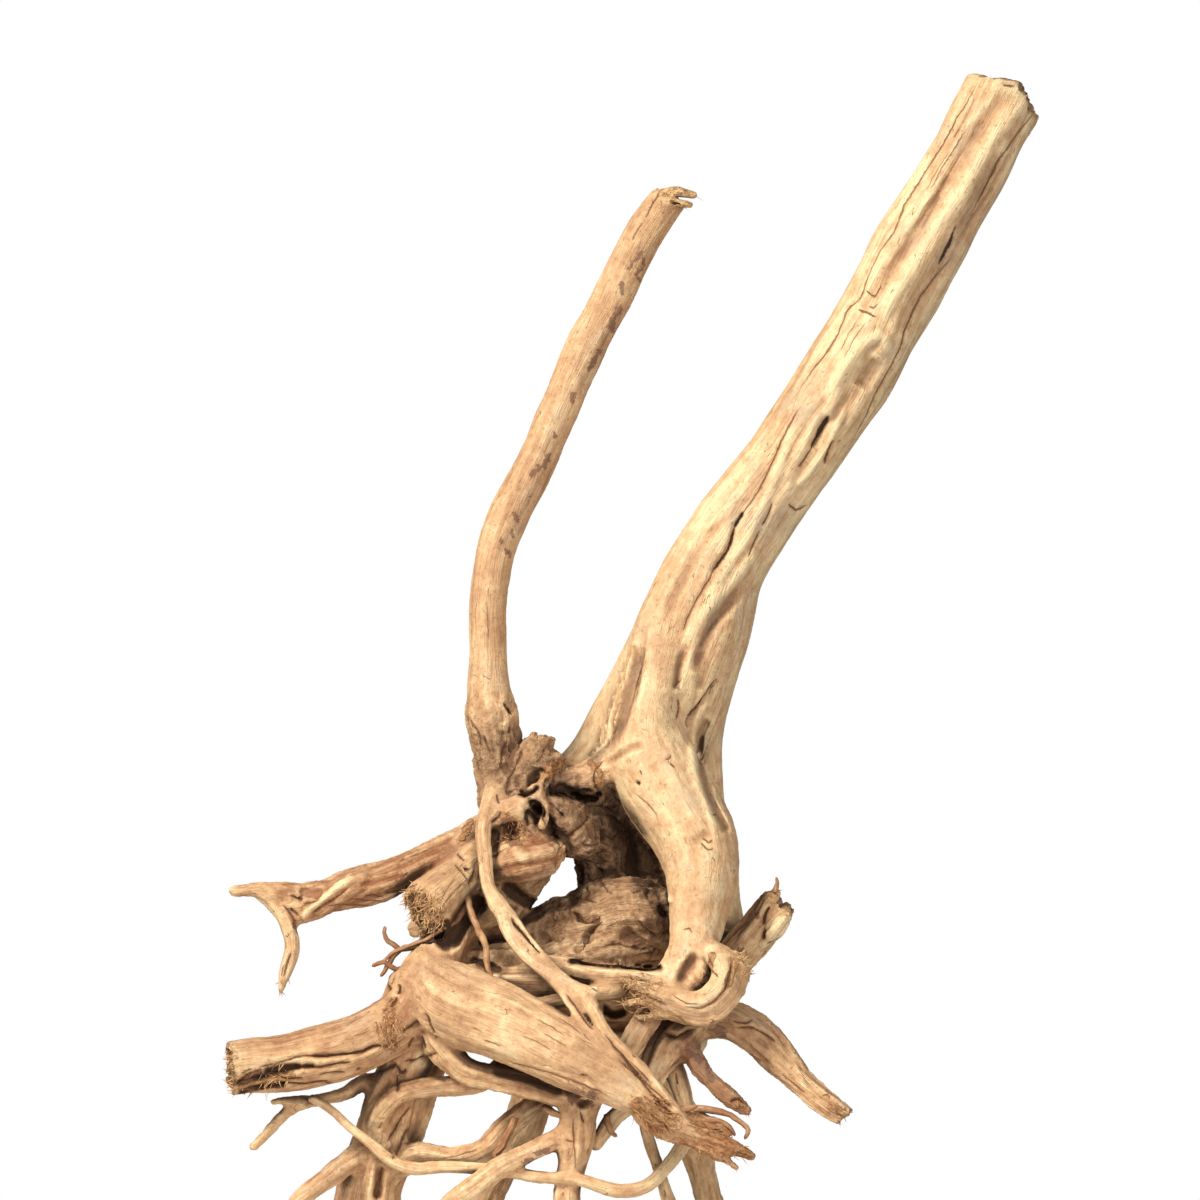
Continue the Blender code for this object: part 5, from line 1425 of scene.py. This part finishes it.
class Nodes:
    """A short way to write a material's nodes."""

    def __init__(self, name):
        self.material = bpy.data.materials.new(name)
        self.material.use_nodes = True
        self.tree = self.material.node_tree
        self.shader = self.tree.nodes["Principled BSDF"]

    def put(self, kind, inputs=(), **settings):
        """A new node with its settings and inputs."""
        node = self.tree.nodes.new(kind)
        for name, value in settings.items():
            setattr(node, name, value)
        for name, value in dict(inputs).items():
            self.feed(node.inputs[name], value)
        return node

    def feed(self, socket, value):
        """Links a socket to another one, or sets its number or colour."""
        if isinstance(value, bpy.types.NodeSocket):
            self.tree.links.new(value, socket)
        else:
            socket.default_value = value

    def attribute(self, name, output="Fac"):
        """A number or a vector that the mesh stores."""
        return self.put("ShaderNodeAttribute", attribute_name=name).outputs[output]

    def math(self, operation, one, two=0.0):
        """A number worked out from two."""
        return self.put("ShaderNodeMath", {0: one, 1: two}, operation=operation).outputs[0]

    def total(self, *values):
        """The sum of the values."""
        return functools.reduce(lambda one, two: self.math("ADD", one, two), values)

    def times(self, *values):
        """The product of the values."""
        return functools.reduce(lambda one, two: self.math("MULTIPLY", one, two), values)

    def ranged(self, value, low, high, to_low=0.0, to_high=1.0):
        """The value carried from one range to another, and held at its ends."""
        inputs = {"Value": value, "From Min": low, "From Max": high, "To Min": to_low, "To Max": to_high}
        return self.put("ShaderNodeMapRange", inputs).outputs["Result"]

    def spread(self, pattern, most):
        """A noise carried to both sides of nought."""
        return self.ranged(pattern, 0.3, 0.7, -most, most)

    def mix(self, share, one, two, kind="RGBA"):
        """Two colours or two numbers mixed: none of the second at share 0, all of it at 1."""
        node = self.put("ShaderNodeMix", data_type=kind)
        sockets = [socket for socket in node.inputs if socket.enabled]
        for socket, value in zip(sockets, (share, one, two)):
            self.feed(socket, value)
        return [socket for socket in node.outputs if socket.enabled][0]

    def place(self):
        """The place on the piece in millimetres."""
        spot = self.put("ShaderNodeTexCoord").outputs["Object"]
        per_metre = (1 / MM, 1 / MM, 1 / MM)
        return self.put("ShaderNodeVectorMath", {0: spot, 1: per_metre}, operation="MULTIPLY").outputs[0]

    def noise(self, vector, scale, detail=3.0, roughness=0.55):
        """Noise on a vector; scale is one over the size of its features, along each axis or along all."""
        if isinstance(scale, float):
            scale = (scale, scale, scale)
        stretched = self.put("ShaderNodeVectorMath", {0: vector, 1: scale}, operation="MULTIPLY").outputs[0]
        inputs = {"Vector": stretched, "Scale": 1.0, "Detail": detail, "Roughness": roughness}
        return self.put("ShaderNodeTexNoise", inputs).outputs[0]

    def grained(self, scale, detail=3.0, roughness=0.55):
        """Noise drawn out along the grain, mixed where two roots meet."""
        one = self.noise(self.attribute("grain_one", "Vector"), scale, detail, roughness)
        two = self.noise(self.attribute("grain_two", "Vector"), scale, detail, roughness)
        return self.mix(self.attribute("grain_share"), two, one, "FLOAT")

    def drawn(self, name, ragged):
        """The dark line of the marks stored under a name, and half its width in pixels."""
        parts = self.put("ShaderNodeSeparateXYZ", {"Vector": self.attribute(name, "Vector")})
        half_width = parts.outputs["Y"]
        gap = self.math("ABSOLUTE", self.math("ADD", parts.outputs["X"], ragged))
        line = self.ranged(self.math("SUBTRACT", half_width, gap), -0.45, 0.25)
        return self.times(line, self.ranged(half_width, 0.03, 0.4)), half_width

    def finished(self, tone, roughness, gloss, height, strength, depth):
        """The material, once its shader has its colour, roughness, gloss and bump."""
        self.feed(self.shader.inputs["Base Color"], tone)
        self.feed(self.shader.inputs["Roughness"], roughness)
        self.shader.inputs["Specular IOR Level"].default_value = gloss
        bump = self.put("ShaderNodeBump", {"Height": height, "Strength": strength, "Distance": depth})
        self.feed(self.shader.inputs["Normal"], bump.outputs["Normal"])
        return self.material


def colour(red, green, blue):
    return (red, green, blue, 1.0)


# Colours of the wood; of a pair, the first is the darker one
# the pale end of the wood's tone, reached by its own paleness and by the painted light on its ridges
BLEACHED_AND_LIT = colour(0.815, 0.63, 0.375)
HONEY = colour(0.585, 0.360, 0.192)
DEEP_BROWN = colour(0.35, 0.195, 0.108)
DEEP_RED = colour(0.29, 0.122, 0.055)
GREYED = colour(0.47, 0.37, 0.27)
BARK = (colour(0.10, 0.050, 0.027), colour(0.38, 0.235, 0.140))
BARK_PATCH = colour(0.34, 0.195, 0.10)
STRAW = (colour(0.30, 0.150, 0.065), colour(0.72, 0.47, 0.24))
REDDISH = (colour(0.17, 0.066, 0.026), colour(0.50, 0.25, 0.105))
# painted shade in the gaps between torn fibres
FIBRE_GAP = colour(0.10, 0.045, 0.019)
STAIN = colour(0.20, 0.10, 0.065)
TICK = colour(0.17, 0.085, 0.04)
PORE = colour(0.22, 0.11, 0.055)
# the dark lines of the marks: painted shade in cracks and along steps, the wide ones darker
THIN_LINE = colour(0.21, 0.095, 0.040)
WIDE_LINE = colour(0.040, 0.020, 0.011)
SHADOW = colour(0.075, 0.038, 0.020)
TUFT_RED = (colour(0.20, 0.080, 0.032), colour(0.56, 0.28, 0.115))
TUFT_STRAW = (colour(0.50, 0.270, 0.120), colour(0.80, 0.55, 0.30))


class WoodNodes(Nodes):
    """The patterns and the stored numbers that the parts of the wood's material share."""

    def __init__(self):
        super().__init__("weathered_root_wood")
        self.spot = self.place()
        self.broad = self.noise(self.spot, 0.022, 2.0)
        self.patch = self.noise(self.spot, 0.075, 3.0)
        self.mottle = self.noise(self.spot, 0.17, 4.0, 0.62)
        self.speck = self.noise(self.spot, 0.55, 2.0)
        self.streak = self.grained((0.014, 0.16, 0.16), 4.0, 0.6)
        self.fine = self.grained((0.06, 1.1, 1.1), 3.0, 0.6)
        self.fibrils = self.grained((0.10, 2.4, 2.4), 2.0, 0.6)
        self.fibre = self.grained((0.12, 0.9, 0.9), 2.0)
        self.relief = self.attribute("relief")
        self.brown = self.attribute("brown")
        self.bark = self.attribute("bark")
        self.polish = self.attribute("polish")
        self.grainy = self.ranged(self.polish, 0.0, 1.0, 1.0, 0.40)
        self.broken = self.attribute("torn")
        frayed = self.total(self.attribute("fray"), self.spread(self.speck, 0.3))
        self.torn = self.math("MAXIMUM", self.broken, self.ranged(frayed, 0.2, 0.6))


def bare_wood(nodes):
    """Bare wood, pale on its ridges and reddish in its hollows as painted light and shade, and grey in
    places; and how pale it is.
    """
    # the relief and shade numbers paint light on the ridges and shade in the hollows
    tone = nodes.total(nodes.times(nodes.spread(nodes.streak, 0.32), nodes.grainy),
                       nodes.spread(nodes.patch, 0.14), nodes.spread(nodes.mottle, 0.22),
                       nodes.spread(nodes.broad, 0.20),
                       nodes.times(nodes.spread(nodes.fine, 0.18), nodes.grainy),
                       nodes.times(nodes.brown, -0.55),
                       nodes.ranged(nodes.relief, -0.9, 0.9, -0.60, 0.50),
                       nodes.times(nodes.spread(nodes.fibrils, 0.19), nodes.grainy),
                       nodes.ranged(nodes.attribute("shade"), -1.0, 1.0, -0.34, 0.30), -0.02)
    deep = nodes.mix(nodes.ranged(nodes.brown, 0.0, 0.6), DEEP_BROWN, DEEP_RED)
    wood = nodes.mix(nodes.ranged(tone, -0.65, -0.05), deep, HONEY)
    wood = nodes.mix(nodes.ranged(tone, -0.05, 0.50), wood, BLEACHED_AND_LIT)
    clouds = nodes.noise(nodes.spot, (0.03, 0.03, 0.05), 3.0)
    grey = nodes.times(nodes.ranged(clouds, 0.50, 0.66), nodes.ranged(nodes.streak, 0.42, 0.60), 0.45)
    return nodes.mix(grey, wood, GREYED), tone


def with_bark(nodes, wood):
    """The wood with rough dark bark on it, and the share of bark."""
    # painted shade in the bark's hollows and painted light on its lumps
    bark = nodes.mix(nodes.ranged(nodes.relief, -0.5, 0.7), *BARK)
    bark = nodes.mix(nodes.ranged(nodes.patch, 0.42, 0.68), bark, BARK_PATCH)
    share = nodes.ranged(nodes.total(nodes.bark, nodes.spread(nodes.patch, 0.3)), 0.25, 0.8)
    return nodes.mix(nodes.times(share, 0.85), wood, bark), share


def with_torn_wood(nodes, wood):
    """The wood with torn fibres, straw at its ends and reddish elsewhere, and painted shade between them.
    """
    near = nodes.ranged(nodes.speck, 0.35, 0.65)
    straw = nodes.times(nodes.ranged(nodes.broken, 0.1, 0.4),
                        nodes.ranged(nodes.brown, 0.5, 1.0, 1.0, 0.15))
    fibres = nodes.mix(straw, nodes.mix(near, *REDDISH), nodes.mix(near, *STRAW))
    fibres = nodes.mix(nodes.ranged(nodes.fibre, 0.55, 0.64), fibres, FIBRE_GAP)
    return nodes.mix(nodes.times(nodes.torn, 0.85), wood, fibres)


def with_stains(nodes, wood):
    """The wood with ragged dark stains, and faint specks where none was placed."""
    placed = nodes.attribute("stain")
    ragged = nodes.ranged(nodes.total(placed, nodes.spread(nodes.speck, 0.45)), 0.22, 0.55)
    return nodes.mix(nodes.times(ragged, nodes.ranged(placed, 0.0, 0.15, 0.12), 0.8), wood, STAIN)


def with_ticks(nodes, wood):
    """The wood with small dark ticks, hairlines and pores, and their relief."""
    ticks = nodes.times(nodes.ranged(nodes.grained((0.08, 0.75, 0.75), 1.0), 0.71, 0.77),
                        nodes.ranged(nodes.broad, 0.40, 0.60, 0.08, 0.50), nodes.grainy)
    waves = nodes.math("SUBTRACT", nodes.grained((0.009, 0.13, 0.13), 2.0, 0.5), 0.5)
    hairlines = nodes.times(nodes.ranged(nodes.math("ABSOLUTE", waves), 0.0022, 0.0005),
                            nodes.ranged(nodes.patch, 0.50, 0.56), 0.75)
    pores = nodes.times(nodes.ranged(nodes.noise(nodes.spot, 1.1, 1.0), 0.72, 0.78),
                        nodes.ranged(nodes.patch, 0.50, 0.64, 0.0, 0.40), nodes.grainy)
    wood = nodes.mix(nodes.math("MAXIMUM", ticks, hairlines), wood, TICK)
    height = nodes.total(nodes.times(ticks, -0.25), nodes.times(hairlines, -0.6), nodes.times(pores, -0.2))
    return nodes.mix(pores, wood, PORE), height


def with_lines(nodes, wood):
    """The wood with its marks' dark lines of painted shade in cracks and along steps, and where they run.
    """
    ragged = nodes.spread(nodes.noise(nodes.spot, 0.45, 2.0), 0.5)
    lines = 0.0
    for name in ("lines_one", "lines_two"):
        line, half_width = nodes.drawn(name, ragged)
        ink = nodes.mix(nodes.ranged(half_width, 0.45, 1.2), THIN_LINE, WIDE_LINE)
        wood = nodes.mix(nodes.times(line, nodes.ranged(half_width, 0.2, 0.9, 0.55, 0.96)), wood, ink)
        lines = nodes.math("MAXIMUM", line, lines)
    return wood, lines


def with_shadows(nodes, wood):
    """Painted shade: the wood made darker where it sees little around it and where a mark paints shade."""
    marked = nodes.total(nodes.attribute("dark"), nodes.spread(nodes.mottle, 0.18))
    painted_shade = nodes.total(nodes.ranged(nodes.attribute("openness"), 0.10, 0.56, 0.94, 0.0),
                         nodes.spread(nodes.speck, 0.05), nodes.ranged(marked, 0.12, 0.85, 0.0, 0.9))
    return nodes.mix(nodes.ranged(painted_shade, 0.0, 1.0), wood, SHADOW)


def wood_material():
    """Weathered root wood: bleached ridges and reddish hollows with painted light and shade on them,
    brown bark, cracks darkened with painted shade, and torn ends.
    """
    nodes = WoodNodes()
    wood, tone = bare_wood(nodes)
    wood, bark = with_bark(nodes, wood)
    wood = with_stains(nodes, with_torn_wood(nodes, wood))
    wood, ticks = with_ticks(nodes, wood)
    wood, lines = with_lines(nodes, wood)
    worn = nodes.ranged(tone, -0.4, 0.5, 0.78, 0.56)
    roughness = nodes.mix(nodes.math("MAXIMUM", bark, nodes.torn), worn, 0.9, "FLOAT")
    height = nodes.total(nodes.times(nodes.fine, nodes.grainy, 0.9),
                         nodes.times(nodes.streak, nodes.grainy, 0.7),
                         nodes.times(nodes.mottle, nodes.polish, 0.9), ticks, nodes.times(lines, -0.8),
                         nodes.times(nodes.speck, nodes.bark, 1.4),
                         nodes.times(nodes.fibre, nodes.torn, 1.5),
                         nodes.times(nodes.fibrils, nodes.grainy, 0.45))
    return nodes.finished(with_shadows(nodes, wood), roughness, gloss=0.35, height=height, strength=1.0,
                          depth=0.0011)


def fibre_material():
    """Fresh torn fibres: straw and orange brown, paler at some tufts than at others."""
    nodes = Nodes("torn_fibre_wood")
    spot = nodes.place()
    near = nodes.noise(spot, 0.8, 2.0)
    share = nodes.ranged(near, 0.35, 0.65)
    ragged = nodes.ranged(nodes.noise(spot, 0.06, 2.0), 0.35, 0.65, -0.25, 0.25)
    pale = nodes.ranged(nodes.total(nodes.attribute("pale"), ragged), 0.0, 1.0)
    tone = nodes.mix(pale, nodes.mix(share, *TUFT_RED), nodes.mix(share, *TUFT_STRAW))
    return nodes.finished(tone, roughness=0.8, gloss=0.3, height=near, strength=0.4, depth=0.0002)


# The studio, in metres: the strength of its surroundings, the place its lights face, and its floor
AMBIENT = 0.24
AIM = mathutils.Vector((0.0, 0.0, 0.3))
FLOOR_RADIUS = 0.45


def light(name, location, size, power, tint):
    """A square soft light that faces the stump."""
    lamp = bpy.data.lights.new(name, "AREA")
    lamp.size = size
    lamp.energy = power
    lamp.color = tint
    body = bpy.data.objects.new(name, lamp)
    bpy.context.scene.collection.objects.link(body)
    body.location = location
    body.rotation_euler = (AIM - body.location).to_track_quat("-Z", "Y").to_euler()


def studio():
    """White surroundings, a warm soft light from the upper left, and a weaker one from the right."""
    world = bpy.data.worlds.new("studio")
    bpy.context.scene.world = world
    world.use_nodes = True
    tree = world.node_tree
    background = tree.nodes["Background"]
    background.inputs["Color"].default_value = colour(1.0, 0.985, 0.96)
    background.inputs["Strength"].default_value = AMBIENT
    behind = tree.nodes.new("ShaderNodeBackground")
    behind.inputs["Color"].default_value = colour(1.0, 1.0, 1.0)
    ray = tree.nodes.new("ShaderNodeLightPath")
    choose = tree.nodes.new("ShaderNodeMixShader")
    tree.links.new(ray.outputs["Is Camera Ray"], choose.inputs["Fac"])
    tree.links.new(background.outputs[0], choose.inputs[1])
    tree.links.new(behind.outputs[0], choose.inputs[2])
    tree.links.new(choose.outputs[0], tree.nodes["World Output"].inputs["Surface"])
    light("key", location=(-1.5, -1.25, 1.75), size=0.7, power=86.0, tint=(1.0, 0.925, 0.81))
    light("fill", location=(0.8, -2.2, 0.7), size=1.4, power=30.0, tint=(1.0, 0.95, 0.88))
    bpy.context.scene.view_settings.view_transform = "Standard"


def floor():
    """A plain pale disc under the stump."""
    mesh = bpy.data.meshes.new("floor")
    disc = bmesh.new()
    bmesh.ops.create_circle(disc, cap_ends=True, segments=96, radius=FLOOR_RADIUS)
    disc.to_mesh(mesh)
    disc.free()
    nodes = Nodes("pale_floor")
    nodes.shader.inputs["Base Color"].default_value = colour(0.86, 0.85, 0.83)
    nodes.shader.inputs["Roughness"].default_value = 0.9
    mesh.materials.append(nodes.material)
    ground = bpy.data.objects.new("floor", mesh)
    bpy.context.scene.collection.objects.link(ground)


def camera():
    """Level, long lens, in front of the stump and a little to its left."""
    lens = bpy.data.cameras.new("camera")
    lens.lens = LENS
    lens.sensor_width = SENSOR
    lens.clip_end = 50.0
    eye = bpy.data.objects.new("camera", lens)
    eye.location = [length * MM for length in EYE]
    eye.rotation_euler = (math.radians(90), 0, 0)
    bpy.context.scene.collection.objects.link(eye)
    bpy.context.scene.camera = eye


def all_roots():
    """Every root of the skin, numbered in order."""
    rows = [(piece, finish, points) for piece, group in ROOTS.items() for finish, points in group]
    return [Root(*row, number) for number, row in enumerate(rows)]


def skin_pieces(points, quads, owners, normals, point_values, corner_values, material):
    """The skin as its pieces, with the same normals on both sides where two of them meet."""
    for number, name in enumerate(ROOTS):
        mine = owners == number
        corners = np.repeat(mine, 4)
        used, faces = np.unique(quads[mine], return_inverse=True)
        piece = mesh_of(name, points[used], faces.reshape(-1, 4), material)
        piece.data.normals_split_custom_set_from_vertices(normals[used])
        add_values(piece.data, "POINT", {label: rows[used] for label, rows in point_values.items()})
        add_values(piece.data, "CORNER", {label: rows[corners] for label, rows in corner_values.items()})


def main():
    """Makes the stump, the floor, the light and the camera."""
    roots = all_roots()
    points, quads = skin_of(wood_block())
    near = [root.near(points, GRAIN_BLEND + FILLET) for root in roots]
    face_root, corner_values = corner_grain(points, quads, near)
    values = {name: finish_value(len(points), roots, near, name)
              for name in ("bark", "polish", "brown", "torn")}
    values["torn"] = np.maximum(values["torn"], torn_share(points))
    points, drawn = with_marks(with_relief(points, quads, roots, near), quads)
    normals = vertex_normals(points, quads)
    # relief: how far each point stands out of a smoothed skin, which paints light on ridges and shade in
    # hollows
    values["relief"] = ((points - smoothed(points, quads, RELIEF_PASSES)) * normals).sum(1)
    coarse = coarse_block()
    # openness sets the painted shade in hollows and between roots
    values["openness"] = openness(points, smoothed(normals, quads, NORMAL_PASSES), coarse)
    values.update(drawn)
    material = wood_material()
    owners = np.array([list(ROOTS).index(root.piece) for root in roots])[face_root]
    skin_pieces(points, quads, owners, normals, values, corner_values, material)
    hair_roots(len(roots), coarse, material)
    fibres(points, normals, fibre_material())
    studio()
    floor()
    camera()


main()
